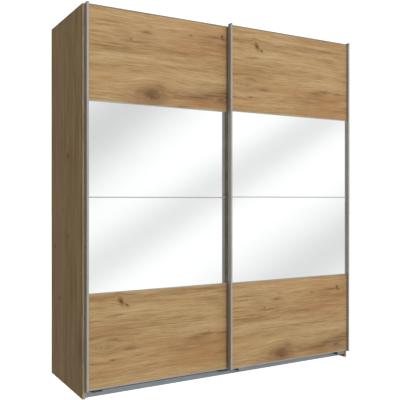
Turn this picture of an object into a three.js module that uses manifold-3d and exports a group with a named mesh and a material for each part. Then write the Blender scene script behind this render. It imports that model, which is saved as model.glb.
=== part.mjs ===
// Two-door sliding wardrobe in oak decor with mirrored door fields.
// Millimetres, +Z up, front towards -Y, origin on the floor under the middle of the wardrobe.
//
// Two depth measures are used besides x, y, z:
//   q  how far a point stands in front of the left side panel's front edge
//   v  how far a point stands in front of a door's own rear plane
import * as THREE from "three";
import { mergeVertices } from "three/addons/utils/BufferGeometryUtils.js";
import Module from "manifold-3d";

// ---- Driving dimensions --------------------------------------------------------------------

const WIDTH = 1700;
const DEPTH = 600;
const BOARD = 16; // carcass board thickness
const SIDE_HEIGHT = 1946;

const DOOR_GAP = 4; // from a side panel's front edge to the door in front of it
const DOOR_PITCH = 30; // from the rear door's plane to the front door's plane
const DOOR_WIDTH = 873;
const DOOR_INSET = { left: 11, right: 5 }; // from the wardrobe's outer face to a closed door's edge
const DOOR_TRAVEL = { left: 797, right: -803 };
const DOOR_BOTTOM = 43; // height of the rear door's fields above the floor
const DOOR_LIFT = 3; // the front door hangs this much higher, so its arms clear the rear door
const FIELD = 475; // height of one of the four fields of a door
const DOOR_BODY = 4 * FIELD;
const STILE_OVERHANG = 4; // how far the stiles reach past the fields, above and below
const STILE_DEPTH = 28;
const STILE_FACE = 11; // width of the stile's front
const STILE_WALL = 1.6;
const REAR_LIP = 2.5; // thickness of the stile's lip behind the door panel
const PANEL = 10; // thickness of a door panel
const GLASS = 4; // thickness of the mirror glass on its backing board
const PANEL_EDGE = 3; // from the door's edge to the panel's edge, inside the stile
const FIT = 0.25; // clearance between pieces that are pushed together

const BOTTOM_Z = 11; // underside of the bottom panel
const TOP_Z = 1888; // underside of the top panel
const SHELF_Z = 1640; // underside of the hat shelves
const CLOTHES_RAIL_Z = 1585;

const WHEEL_RADIUS = 12;
const WHEEL_RUN_RADIUS = 10; // radius of the groove that runs on the track
const WHEEL_WIDTH = 8;
const WHEEL_BORE = 3.1;
const AXLE_RADIUS = 3;
const WHEEL_Z = 1934;
const TRACK_Q = { rear: -12, front: -34 }; // running rib under each door's wheels
const HANGER_INSET = 70; // from a door's edge to the middle of its hanger

// ---- Derived places ------------------------------------------------------------------------

const BACK_Y = DEPTH / 2;
const INNER_X = WIDTH / 2 - BOARD;
const DOORS_Q = DOOR_GAP + DOOR_PITCH + STILE_DEPTH;
const FRONT_EDGE_Y = DOORS_Q - DEPTH / 2; // the left side panel's front edge
const yOf = (q) => FRONT_EDGE_Y - q;

const FLOOR_Z = BOTTOM_Z + BOARD; // upper face of the bottom panel
const ROOF_Z = TOP_Z + BOARD; // upper face of the top panel
const BOARD_FRONT_Q = -42.5; // front edge of the bottom panel, partition and shelves
const RIB_TOP = WHEEL_Z - WHEEL_RUN_RADIUS - 0.2;

const BACK_SHEET = 3;
const SHEET_Y = BACK_Y - 1.2 - BACK_SHEET; // front face of the back sheets
const BOARD_BACK_Y = SHEET_Y - FIT;

// ---- Finishes ------------------------------------------------------------------------------

function finish(color, roughness, metalness) {
  return new THREE.MeshStandardMaterial({ color, roughness, metalness });
}

const OAK = finish(0xb39468, 0.55, 0);
const BACK_WHITE = finish(0xd9d6cf, 0.7, 0);
const CARRIER = finish(0x9a8f80, 0.8, 0);
const MIRROR = finish(0xe6e8ea, 0.03, 1);
const ALUMINIUM = finish(0xa6a29b, 0.35, 1);
const STEEL = finish(0x8d9094, 0.4, 1);
const CHROME = finish(0xc9ccd0, 0.12, 1);
const BLACK_PLASTIC = finish(0x1f1f20, 0.5, 0);
const GREY_PLASTIC = finish(0x8b8b88, 0.55, 0);

// ---- Making solids -------------------------------------------------------------------------

const wasm = await Module();
wasm.setup();

const wardrobe = new THREE.Group();

function place(name, geometry, material) {
  const mesh = new THREE.Mesh(geometry, material);
  mesh.name = name;
  wardrobe.add(mesh);
  return mesh;
}

// A block between two opposite corners.
function block([x0, x1], [y0, y1], [z0, z1]) {
  const geometry = new THREE.BoxGeometry(x1 - x0, Math.abs(y1 - y0), z1 - z0);
  return geometry.translate((x0 + x1) / 2, (y0 + y1) / 2, (z0 + z1) / 2);
}

function outline(points, hole) {
  const shape = new THREE.Shape(points.map(([a, b]) => new THREE.Vector2(a, b)));
  if (hole) shape.holes.push(new THREE.Path(hole.map(([a, b]) => new THREE.Vector2(a, b))));
  return shape;
}

// A section drawn in (y, z) and run along x from x0 to x1.
function alongX(shape, x0, x1) {
  const geometry = new THREE.ExtrudeGeometry(shape, { depth: x1 - x0, bevelEnabled: false });
  const turn = new THREE.Matrix4().set(0, 0, 1, x0, 1, 0, 0, 0, 0, 1, 0, 0, 0, 0, 0, 1);
  return geometry.applyMatrix4(turn);
}

// A section drawn in (x, y) and run upwards from z0 to z1.
function alongZ(shape, z0, z1) {
  return new THREE.ExtrudeGeometry(shape, { depth: z1 - z0, bevelEnabled: false }).translate(0, 0, z0);
}

// A rod along y, from y0 to y1.
function rodAlongY(radius, x, [y0, y1], z) {
  const geometry = new THREE.CylinderGeometry(radius, radius, y1 - y0, 24);
  return geometry.translate(x, (y0 + y1) / 2, z);
}

function solid(geometry) {
  const bare = geometry.index ? geometry.toNonIndexed() : geometry.clone();
  bare.deleteAttribute("normal");
  bare.deleteAttribute("uv");
  const merged = mergeVertices(bare, 1e-4);
  return new wasm.Manifold(
    new wasm.Mesh({
      numProp: 3,
      vertProperties: merged.attributes.position.array,
      triVerts: new Uint32Array(merged.index.array),
    }),
  );
}

function joined(...geometries) {
  const mesh = geometries
    .map(solid)
    .reduce((whole, piece) => whole.add(piece))
    .getMesh();
  const geometry = new THREE.BufferGeometry();
  geometry.setAttribute("position", new THREE.BufferAttribute(mesh.vertProperties, 3));
  geometry.setIndex(new THREE.BufferAttribute(mesh.triVerts, 1));
  return geometry;
}

const mirrored = (points) => points.map(([a, b]) => [-a, b]).reverse();

// A door's rear plane, its left edge when closed, the foot of its fields and its travel.
const DOORS = {
  left: {
    q: DOOR_GAP,
    x: DOOR_INSET.left - WIDTH / 2,
    z: DOOR_BOTTOM,
    travel: DOOR_TRAVEL.left,
    track: "rear",
    ends: ["outer", "inner"],
  },
  right: {
    q: DOOR_GAP + DOOR_PITCH,
    x: WIDTH / 2 - DOOR_INSET.right - DOOR_WIDTH,
    z: DOOR_BOTTOM + DOOR_LIFT,
    travel: DOOR_TRAVEL.right,
    track: "front",
    ends: ["inner", "outer"],
  },
};

// ---- Carcass -------------------------------------------------------------------------------

function buildCarcass() {
  const outer = WIDTH / 2;
  place("left_side_panel", block([-outer, -INNER_X], [yOf(0), BACK_Y], [0, SIDE_HEIGHT]), OAK);
  // The right side panel is deeper by one door pitch, because the front door closes on it.
  place("right_side_panel", block([INNER_X, outer], [yOf(DOOR_PITCH), BACK_Y], [0, SIDE_HEIGHT]), OAK);

  const between = [-INNER_X, INNER_X];
  place("bottom_panel", block(between, [yOf(BOARD_FRONT_Q), BOARD_BACK_Y], [BOTTOM_Z, FLOOR_Z]), OAK);
  place("top_panel", block(between, [yOf(-2.5), BOARD_BACK_Y], [TOP_Z, ROOF_Z]), OAK);
  const middle = [-BOARD / 2, BOARD / 2];
  const partitionY = [yOf(BOARD_FRONT_Q), BOARD_BACK_Y - 1.2];
  place("centre_partition", block(middle, partitionY, [FLOOR_Z, TOP_Z]), OAK);

  for (const [side, x0, x1] of [
    ["left", -INNER_X, -BOARD / 2],
    ["right", BOARD / 2, INNER_X],
  ]) {
    const shelfX = [x0 + FIT, x1 - FIT];
    const shelfY = [yOf(BOARD_FRONT_Q - 12), BOARD_BACK_Y - 3];
    place(`${side}_hat_shelf`, block(shelfX, shelfY, [SHELF_Z, SHELF_Z + BOARD]), OAK);
    buildClothesRail(side, x0, x1);
  }
  buildBack();
}

// Two thin sheets, held edge to edge by an H-shaped strip behind the partition.
function buildBack() {
  const sheet = [SHEET_Y, SHEET_Y + BACK_SHEET];
  const height = [BOTTOM_Z + 2, ROOF_Z - 1];
  place("left_back_sheet", block([-INNER_X + FIT, -1], sheet, height), BACK_WHITE);
  place("right_back_sheet", block([1, INNER_X - FIT], sheet, height), BACK_WHITE);

  const flange = 11;
  const web = 0.7;
  const [near, far] = sheet;
  const half = [
    [flange, near - 1],
    [flange, near - 0.1],
    [web, near - 0.1],
    [web, far + 0.1],
    [flange, far + 0.1],
    [flange, far + 1],
  ];
  const strip = alongZ(outline([...half, ...mirrored(half)]), FLOOR_Z + FIT, TOP_Z - FIT);
  place("back_joiner_strip", strip, BACK_WHITE);
}

function ovalRing(halfY, halfZ, wall, centreY, centreZ) {
  const oval = (a, b) => {
    const points = new THREE.EllipseCurve(centreY, centreZ, a, b).getPoints(28);
    return points.slice(0, -1).map((p) => [p.x, p.y]);
  };
  return outline(oval(halfY, halfZ), oval(halfY - wall, halfZ - wall).reverse());
}

// An oval tube in two open-topped cups, one on each wall of the compartment.
function buildClothesRail(side, x0, x1) {
  const y = 40;
  const z = CLOTHES_RAIL_Z;
  const halfY = 7.5;
  const halfZ = 15;
  const cupDepth = 12;
  const plate = 2;
  const tube = alongX(ovalRing(halfY, halfZ, 1.2, y, z), x0 + plate + FIT, x1 - plate - FIT);
  place(`${side}_clothes_rail`, tube, CHROME);

  const inner = halfY + 0.4;
  const rim = halfY + 3;
  const low = z - halfZ;
  const arc = (radius, from, to) =>
    new THREE.EllipseCurve(y, low + halfY, radius, radius, from, to, to < from)
      .getPoints(12)
      .map((p) => [p.x, p.y - 0.4]);
  const top = z + halfZ + 1;
  const cup = outline([
    [y - rim, top],
    ...arc(rim, Math.PI, 2 * Math.PI),
    [y + rim, top],
    [y + inner, top],
    ...arc(inner, 2 * Math.PI, Math.PI),
    [y - inner, top],
  ]);
  for (const [end, plateX, cupX] of [
    ["left", x0, x0],
    ["right", x1 - plate, x1 - cupDepth],
  ]) {
    const backing = block([plateX, plateX + plate], [y - 16, y + 16], [z - 24, z + 24]);
    const socket = joined(backing, alongX(cup, cupX, cupX + cupDepth));
    place(`${side}_rail_${end}_socket`, socket, BLACK_PLASTIC);
  }
}

// ---- Tracks --------------------------------------------------------------------------------

function buildTracks() {
  const x = [-INNER_X + 0.5, INNER_X - 0.5];

  // Top track: a base on the top panel, an apron over its front edge and two running ribs.
  const base = ROOF_Z + 2.2;
  const ribHalf = 1.2;
  const rib = (q) => [
    [yOf(q - ribHalf), base],
    [yOf(q - ribHalf), RIB_TOP - 0.8],
    [yOf(q - ribHalf / 2), RIB_TOP],
    [yOf(q + ribHalf / 2), RIB_TOP],
    [yOf(q + ribHalf), RIB_TOP - 0.8],
    [yOf(q + ribHalf), base],
  ];
  const topSection = outline([
    [yOf(-46), ROOF_Z],
    [yOf(-46), base],
    ...rib(TRACK_Q.front),
    ...rib(TRACK_Q.rear),
    [yOf(0), base],
    [yOf(0), TOP_Z - 2],
    [yOf(-2), TOP_Z - 2],
    [yOf(-2), ROOF_Z],
  ]);
  place("top_track", alongX(topSection, ...x), ALUMINIUM);

  // Bottom track: the visible fascia and two grooves behind it, one for each door's guides.
  const wall = 1.6;
  const grooveFloor = 15;
  const fascia = -20;
  const middleRib = -31.2;
  const rearRib = -42.4;
  const bottomSection = outline([
    [yOf(fascia), 0.5],
    [yOf(fascia), FLOOR_Z],
    [yOf(fascia - wall), FLOOR_Z],
    [yOf(fascia - wall), grooveFloor],
    [yOf(middleRib + wall / 2), grooveFloor],
    [yOf(middleRib + wall / 2), FLOOR_Z],
    [yOf(middleRib - wall / 2), FLOOR_Z],
    [yOf(middleRib - wall / 2), grooveFloor],
    [yOf(rearRib + wall), grooveFloor],
    [yOf(rearRib + wall), FLOOR_Z],
    [yOf(rearRib), FLOOR_Z],
    [yOf(rearRib), grooveFloor - wall],
    [yOf(fascia - wall), grooveFloor - wall],
    [yOf(fascia - wall), 0.5],
  ]);
  place("bottom_track", alongX(bottomSection, ...x), ALUMINIUM);

  for (const door of Object.values(DOORS)) buildTrackStops(door, base);
}

// Stops that straddle a door's rib just past the wheels' last positions.
function buildTrackStops(door, base) {
  const length = 16;
  const reach = HANGER_INSET - WHEEL_RADIUS - 1;
  const starts = {
    left: door.x + Math.min(0, door.travel) + reach - length,
    right: door.x + DOOR_WIDTH + Math.max(0, door.travel) - reach,
  };
  const [front, slotFront, slotBack, back] = [4, 1.4, -1.4, -4].map((q) => yOf(TRACK_Q[door.track] + q));
  const section = outline([
    [front, base],
    [slotFront, base],
    [slotFront, RIB_TOP + 0.2],
    [slotBack, RIB_TOP + 0.2],
    [slotBack, base],
    [back, base],
    [back, WHEEL_Z + 6],
    [front, WHEEL_Z + 6],
  ]);
  for (const [end, x] of Object.entries(starts)) {
    place(`${door.track}_track_${end}_stop`, alongX(section, x, x + length), BLACK_PLASTIC);
  }
}

// ---- Doors ---------------------------------------------------------------------------------

function buildDoor(side) {
  const door = DOORS[side];
  const y = (v) => yOf(door.q + v);
  const name = (piece) => `${side}_door_${piece}`;
  const panelFront = REAR_LIP + PANEL;
  const top = door.z + DOOR_BODY;

  // Stiles: a channel for the panels, with a hollow grip standing in front of them.
  const section = [
    [0, 0],
    [0, STILE_DEPTH],
    [STILE_FACE, STILE_DEPTH],
    [STILE_FACE, panelFront + 0.2],
    [2, panelFront + 0.2],
    [2, REAR_LIP],
    [STILE_FACE, REAR_LIP],
    [STILE_FACE, 0],
  ];
  const hollow = [
    [STILE_WALL, panelFront + 0.2 + STILE_WALL],
    [STILE_FACE - STILE_WALL, panelFront + 0.2 + STILE_WALL],
    [STILE_FACE - STILE_WALL, STILE_DEPTH - STILE_WALL],
    [STILE_WALL, STILE_DEPTH - STILE_WALL],
  ];
  const at = (edge, way, points) => points.map(([u, v]) => [edge + way * u, y(v)]);
  const length = [door.z - STILE_OVERHANG, top + STILE_OVERHANG];
  const leftStile = outline(at(door.x, 1, section), at(door.x, 1, hollow));
  const rightStile = outline(at(door.x + DOOR_WIDTH, -1, section), at(door.x + DOOR_WIDTH, -1, hollow));
  place(name(`${door.ends[0]}_stile`), alongZ(leftStile, ...length), ALUMINIUM);
  place(name(`${door.ends[1]}_stile`), alongZ(rightStile, ...length), ALUMINIUM);

  // Horizontal profiles between the stiles.
  const x = [door.x + STILE_FACE + 0.2, door.x + DOOR_WIDTH - STILE_FACE - 0.2];
  const lip = 1.2;
  const frontLip = 5; // height of the visible edge along the door's head and foot
  const cap = 1.5;
  const run = (points, z) => alongX(outline(points.map(([v, h]) => [y(v), z + h])), ...x);
  const bottomRail = [
    [REAR_LIP - lip, 0],
    [REAR_LIP - lip, 12],
    [REAR_LIP, 12],
    [REAR_LIP, cap],
    [panelFront, cap],
    [panelFront, frontLip],
    [panelFront + lip, frontLip],
    [panelFront + lip, 0],
  ];
  place(name("bottom_rail"), run(bottomRail, door.z), ALUMINIUM);
  const topRail = [
    [REAR_LIP, 0],
    [panelFront + lip, 0],
    [panelFront + lip, -frontLip],
    [panelFront, -frontLip],
    [panelFront, -cap],
    [REAR_LIP, -cap],
  ];
  place(name("top_rail"), run(topRail, top), ALUMINIUM);
  const web = 0.75;
  const face = 2.5;
  const crossBar = [
    [panelFront + 1, -face],
    [panelFront, -face],
    [panelFront, -web],
    [REAR_LIP, -web],
    [REAR_LIP, -6],
    [REAR_LIP - 1, -6],
    [REAR_LIP - 1, 6],
    [REAR_LIP, 6],
    [REAR_LIP, web],
    [panelFront, web],
    [panelFront, face],
    [panelFront + 1, face],
  ];
  ["lower", "middle", "upper"].forEach((level, i) => {
    place(name(`${level}_cross_bar`), run(crossBar, door.z + (i + 1) * FIELD), ALUMINIUM);
  });

  // Fields: oak boards at the foot and head, mirrors on backing boards between them.
  const panelX = [door.x + PANEL_EDGE, door.x + DOOR_WIDTH - PANEL_EDGE];
  const fieldZ = (i) => [
    door.z + i * FIELD + (i === 0 ? cap : web) + FIT,
    door.z + (i + 1) * FIELD - (i === 3 ? cap : web) - FIT,
  ];
  const layer = (from, to, i) => block(panelX, [y(from), y(to)], fieldZ(i));
  place(name("bottom_panel"), layer(REAR_LIP, panelFront, 0), OAK);
  place(name("top_panel"), layer(REAR_LIP, panelFront, 3), OAK);
  for (const [level, i] of [
    ["lower", 1],
    ["upper", 2],
  ]) {
    place(name(`${level}_mirror`), layer(panelFront - GLASS, panelFront, i), MIRROR);
    place(name(`${level}_mirror_backing`), layer(REAR_LIP, panelFront - GLASS, i), CARRIER);
  }
  buildRunningGear(door, name);
}

// Hangers with their wheels at the head of a door, guides at its foot.
function buildRunningGear(door, name) {
  const railQ = TRACK_Q[door.track];
  const armTop = door.z + DOOR_BODY + (door.track === "front" ? STILE_OVERHANG : 0);
  const sheet = 2;
  const reach = railQ + 6; // front face of the leg that carries the axle
  const middles = [door.x + HANGER_INSET, door.x + DOOR_WIDTH - HANGER_INSET];

  door.ends.forEach((end, i) => {
    const x = middles[i];
    const span = [x - 28, x + 28];
    const plateQ = door.q + REAR_LIP;
    const plate = block(span, [yOf(plateQ), yOf(plateQ - 1.3)], [armTop - 72, armTop]);
    const arm = block(span, [yOf(plateQ), yOf(reach)], [armTop - sheet, armTop]);
    const leg = block([x - 18, x + 18], [yOf(reach + sheet), yOf(reach)], [WHEEL_Z - 7, armTop]);
    const axle = rodAlongY(AXLE_RADIUS, x, [yOf(reach + 1), yOf(railQ - 6.5)], WHEEL_Z);
    const head = rodAlongY(5, x, [yOf(railQ - 5), yOf(railQ - 6.5)], WHEEL_Z);
    place(name(`${end}_hanger`), joined(plate, arm, leg, axle, head), STEEL);
    place(name(`${end}_wheel`), wheel(x, yOf(railQ)), GREY_PLASTIC);
  });
  buildGuides(door, name);
}

function wheel(x, y) {
  const half = WHEEL_WIDTH / 2;
  const profile = [
    [WHEEL_BORE, -half],
    [WHEEL_RADIUS - 0.6, -half],
    [WHEEL_RADIUS, -half + 0.6],
    [WHEEL_RADIUS, -2.4],
    [WHEEL_RUN_RADIUS, -1.6],
    [WHEEL_RUN_RADIUS, 1.6],
    [WHEEL_RADIUS, 2.4],
    [WHEEL_RADIUS, half - 0.6],
    [WHEEL_RADIUS - 0.6, half],
    [WHEEL_BORE, half],
    [WHEEL_BORE, -half],
  ].map(([r, h]) => new THREE.Vector2(r, h));
  return new THREE.LatheGeometry(profile, 40).translate(x, y, WHEEL_Z);
}

// Each guide reaches back from the door's foot and drops a tongue into its groove. The front
// door's arm runs under the rear door's, so the doors can pass each other.
function buildGuides(door, name) {
  const rear = door.track === "rear";
  const arm = rear ? [32, 35] : [28, 30.5];
  const tongueQ = rear ? -36.8 : -25.6;
  const length = 51;
  const starts = rear ? [door.x + 35, door.x + DOOR_WIDTH - 105] : [door.x + 60, door.x + DOOR_WIDTH - 85];
  door.ends.forEach((end, i) => {
    const span = [starts[i], starts[i] + length];
    const foot = block(span, [yOf(door.q + 14), yOf(door.q + 1)], [arm[0], door.z]);
    const reach = block(span, [yOf(door.q + 14), yOf(tongueQ - 3)], arm);
    const tongue = block(span, [yOf(tongueQ + 3), yOf(tongueQ - 3)], [18, arm[1]]);
    place(name(`${end}_guide`), joined(foot, reach, tongue), rear ? BLACK_PLASTIC : GREY_PLASTIC);
  });
}

buildCarcass();
buildTracks();
buildDoor("left");
buildDoor("right");

export default wardrobe;
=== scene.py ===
"""Finish and detail of the two-door sliding wardrobe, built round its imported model.

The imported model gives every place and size. This file dresses it: boards in oak decor with edge bands,
brushed aluminium profiles with end caps, mirrors, roller hangers, guides, tracks and the fitted inside.
Shapes are whole numpy arrays of rings, joined into closed shells. All lengths are metres.
"""

import logging
import math
from dataclasses import dataclass
from enum import Enum, IntEnum

import bmesh
import bpy
import numpy as np
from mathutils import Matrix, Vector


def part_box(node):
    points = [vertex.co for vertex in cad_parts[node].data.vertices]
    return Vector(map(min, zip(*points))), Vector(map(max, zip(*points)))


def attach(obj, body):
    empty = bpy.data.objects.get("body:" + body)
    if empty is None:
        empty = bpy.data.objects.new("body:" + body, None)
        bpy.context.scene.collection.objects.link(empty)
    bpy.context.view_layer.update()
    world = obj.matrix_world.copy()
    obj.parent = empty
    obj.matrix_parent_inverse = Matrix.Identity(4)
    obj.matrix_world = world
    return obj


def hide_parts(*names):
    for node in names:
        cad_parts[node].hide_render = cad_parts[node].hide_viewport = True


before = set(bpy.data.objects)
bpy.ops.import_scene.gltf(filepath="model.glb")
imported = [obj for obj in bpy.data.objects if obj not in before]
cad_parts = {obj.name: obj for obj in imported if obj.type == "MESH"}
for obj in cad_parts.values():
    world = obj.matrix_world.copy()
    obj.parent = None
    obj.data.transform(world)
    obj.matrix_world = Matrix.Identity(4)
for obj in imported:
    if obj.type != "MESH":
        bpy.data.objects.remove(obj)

Array = np.ndarray
Socket = bpy.types.NodeSocket
Value = Socket | float
Colour = tuple[float, float, float]
Shell = tuple[Array, list[list[int]]]

MM = 0.001
SHARP_ANGLE = math.radians(32)  # an edge that turns by more stays sharp in the shading
FIRST_ANGLE = 0.3  # where the rounding of a box's end starts, about 17 degrees
SIDE_SHARE = 0.45  # the most of a side that one corner's rounding takes
FACING = 0.6  # the cosine from which a face counts as looking along an axis
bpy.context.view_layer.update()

log = logging.getLogger("wardrobe")


class Axis(IntEnum):
    """A direction of the shared frame."""

    X = 0
    Y = 1
    Z = 2

    @property
    def others(self) -> list[int]:
        """The two directions across this one, in order."""
        return [a for a in (0, 1, 2) if a != self]


class Side(Enum):
    """One of the two doors, or the compartment behind it."""

    LEFT = "left"
    RIGHT = "right"


class Level(Enum):
    """One of a door's four fields, counted from its foot."""

    FOOT = "bottom_panel"
    LOW_MIRROR = "lower_mirror"
    HIGH_MIRROR = "upper_mirror"
    HEAD = "top_panel"


# ---- Shapes --------------------------------------------------------------------------------


def span(node: str) -> tuple[Array, Array]:
    """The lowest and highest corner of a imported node.

    Args:
        node: the node's name.

    Returns:
        Two arrays of x, y and z.
    """
    low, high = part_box(node)
    return np.array(low), np.array(high)


def loft(rings: Array, closed: bool = False) -> Shell:
    """Joins neighbouring rings, point by point, with four-sided faces.

    Face (i, j) has the corners (i, j), (i, j+1), (i+1, j+1) and (i+1, j), where j counts round the ring.

    Args:
        rings: an array of rings by points by 3.
        closed: joins the last ring to the first; otherwise each end ring gets one flat face.

    Returns:
        The shell's vertices and faces.
    """
    count, points = rings.shape[:2]
    grid = np.arange(count * points).reshape(count, points)
    lower = grid if closed else grid[:-1]
    upper = np.roll(grid, -1, axis=0) if closed else grid[1:]
    corners = (lower, np.roll(lower, -1, axis=1), np.roll(upper, -1, axis=1), upper)
    faces = np.stack(corners, axis=-1).reshape(-1, 4).tolist()
    if not closed:
        faces += [grid[0, ::-1].tolist(), grid[-1].tolist()]
    return rings.reshape(-1, 3), faces


def filleted(corners: list[tuple[float, float]] | Array, radius: float, steps: int = 3) -> Array:
    """A closed outline with its corners rounded.

    Each corner P becomes the curve (1-t)^2 A + 2t(1-t) P + t^2 B for t from 0 to 1, where A and B lie one
    radius from P along its two sides, or 0.45 of a shorter side.

    Args:
        corners: the outline's corners in order.
        radius: how far from each corner its rounding starts.
        steps: straight pieces in each rounding.

    Returns:
        An array of points by 2.
    """
    points = np.asarray(corners, float)
    ends = []
    for shift in (1, -1):
        side = np.roll(points, shift, axis=0) - points
        length = np.linalg.norm(side, axis=1, keepdims=True)
        ends.append(points + side / length * np.minimum(radius, SIDE_SHARE * length))
    t = np.linspace(0, 1, steps + 1)[None, :, None]
    curve = (1 - t) ** 2 * ends[0][:, None] + 2 * t * (1 - t) * points[:, None] + t**2 * ends[1][:, None]
    return curve.reshape(-1, 2)


def bent_path(points: list[tuple[float, float]], radius: float, steps: int = 5) -> Array:
    """An open path with its bends rounded as filleted() rounds them; its two ends stay where they are.

    Args:
        points: the path's corners in order.
        radius: how far from each bend its rounding starts.
        steps: straight pieces in each bend.

    Returns:
        An array of points by 2.
    """
    rounded = filleted(points, radius, steps)
    inner = rounded[steps + 1 : -(steps + 1)]
    return np.vstack([points[0], inner, points[-1]])


def carried(outline: Array, axis: Axis, start: float, end: float) -> Shell:
    """A closed outline carried straight along an axis.

    Args:
        outline: points in the two directions across the axis, in the frame's order.
        axis: the direction of travel.
        start: where it starts along the axis.
        end: where it ends.

    Returns:
        The shell.
    """
    rings = np.empty((2, len(outline), 3))
    rings[:, :, axis.others] = outline
    rings[:, :, axis] = np.array([start, end])[:, None]
    return loft(rings)


def softened_box(low: Array, high: Array, axis: Axis, edge: float, steps: int = 3) -> Shell:
    """A box whose edges are all rounded.

    With the angle a going from 17 to 90 degrees, a ring's corners have the radius edge * sin(a) round fixed
    centres one edge in from the box's corners, and it stands edge * (cos(17) - cos(a)) in from the end.

    Args:
        low: the box's lowest corner.
        high: its highest corner.
        axis: the direction the rings follow.
        edge: the radius of its edges.
        steps: rings in each end's rounding, less one.

    Returns:
        The shell.
    """
    across = axis.others
    angle = np.linspace(FIRST_ANGLE, math.pi / 2, steps + 1)
    radius = edge * np.sin(angle)
    inset = edge * (math.cos(angle[0]) - np.cos(angle))
    quarter = np.linspace(0, math.pi / 2, steps + 1)
    turn = (np.arange(4)[:, None] * math.pi / 2 + quarter).ravel()
    signs = np.repeat([[1, 1], [-1, 1], [-1, -1], [1, -1]], steps + 1, axis=0)
    middle = (low + high)[across] / 2
    centres = middle + signs * ((high - low)[across] / 2 - edge)
    flat = centres + radius[:, None, None] * np.stack([np.cos(turn), np.sin(turn)], axis=-1)
    rings = np.empty((2 * len(radius), len(turn), 3))
    rings[:, :, across] = np.concatenate([flat, flat[::-1]])
    rings[:, :, axis] = np.concatenate([low[axis] + inset, high[axis] - inset[::-1]])[:, None]
    return loft(rings)


def turned(
    profile: list[tuple[float, float]],
    centre: Array,
    axis: Axis,
    segments: int = 40,
    closed: bool = False,
    flats: tuple[int, ...] = (),
) -> Shell:
    """A profile turned round an axis, with some of its rings made six-sided.

    A ring point is centre + radius * (cos(a), sin(a)) across the axis and the profile's height along it. On a
    six-sided ring the radius is times cos(30) / cos(b), where b is the angle from the nearest flat's middle.

    Args:
        profile: pairs of radius and height.
        centre: the point that heights are counted from.
        axis: the axis of the turning.
        segments: points round each ring.
        closed: the profile closes on itself, as round a bore.
        flats: the numbers of the six-sided rings.

    Returns:
        The shell.
    """
    radius, height = np.asarray(profile, float).T
    angle = np.arange(segments) * 2 * math.pi / segments
    sixth = math.pi / 3
    hexagon = math.cos(sixth / 2) / np.cos(angle % sixth - sixth / 2)
    shape = np.where(np.isin(np.arange(len(radius)), flats)[:, None], hexagon, 1.0)
    rings = np.empty((len(radius), segments, 3))
    across = axis.others
    reach = radius[:, None] * shape
    rings[:, :, across[0]] = centre[across[0]] + reach * np.cos(angle)
    rings[:, :, across[1]] = centre[across[1]] + reach * np.sin(angle)
    rings[:, :, axis] = centre[axis] + height[:, None]
    return loft(rings, closed)


def ribbon(path: Array, thickness: float | Array, widths: Array, middle: float) -> Shell:
    """A bent strip of sheet: a flat cross-section carried along a path in the y, z plane.

    Each ring's corners are path +- normal * thickness / 2 and middle +- width / 2, where the normal is the
    path's direction turned by 90 degrees.

    Args:
        path: the sheet's middle line, points by 2.
        thickness: the sheet's thickness, or one at each point.
        widths: the strip's width at each point.
        middle: the strip's middle along x.

    Returns:
        The shell.
    """
    along = np.gradient(path, axis=0)
    along /= np.linalg.norm(along, axis=1, keepdims=True)
    normal = np.stack([-along[:, 1], along[:, 0]], axis=1) * thickness / 2
    rings = np.empty((len(path), 4, 3))
    rings[:, :, 0] = middle + widths[:, None] / 2 * np.array([-1, 1, 1, -1])
    rings[:, :, 1:] = path[:, None] + normal[:, None] * np.array([1, 1, -1, -1])[:, None]
    return loft(rings)


def socket_screw(centre: Array, axis: Axis, way: int, radius: float = 3.6 * MM) -> Shell:
    """A pan head with a six-sided socket, standing on a surface.

    Args:
        centre: the middle of the head's foot.
        axis: the screw's axis.
        way: 1 or -1, the way along the axis that the head stands out.
        radius: the head's radius.

    Returns:
        The shell.
    """
    profile = [
        (radius, 0),
        (radius, 0.45 * radius),
        (0.86 * radius, 0.62 * radius),
        (0.52 * radius, 0.68 * radius),
        (0.5 * radius, 0.66 * radius),
        (0.5 * radius, 0.25 * radius),
    ]
    return turned([(r, way * h) for r, h in profile], centre, axis, 24, flats=(4, 5))


# ---- Finishes ------------------------------------------------------------------------------


def srgb(red: int, green: int, blue: int) -> Colour:
    """A screen colour, each part from 0 to 255, as linear light."""
    parts = np.array([red, green, blue]) / 255
    return tuple(np.where(parts <= 0.04045, parts / 12.92, ((parts + 0.055) / 1.055) ** 2.4).tolist())


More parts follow.
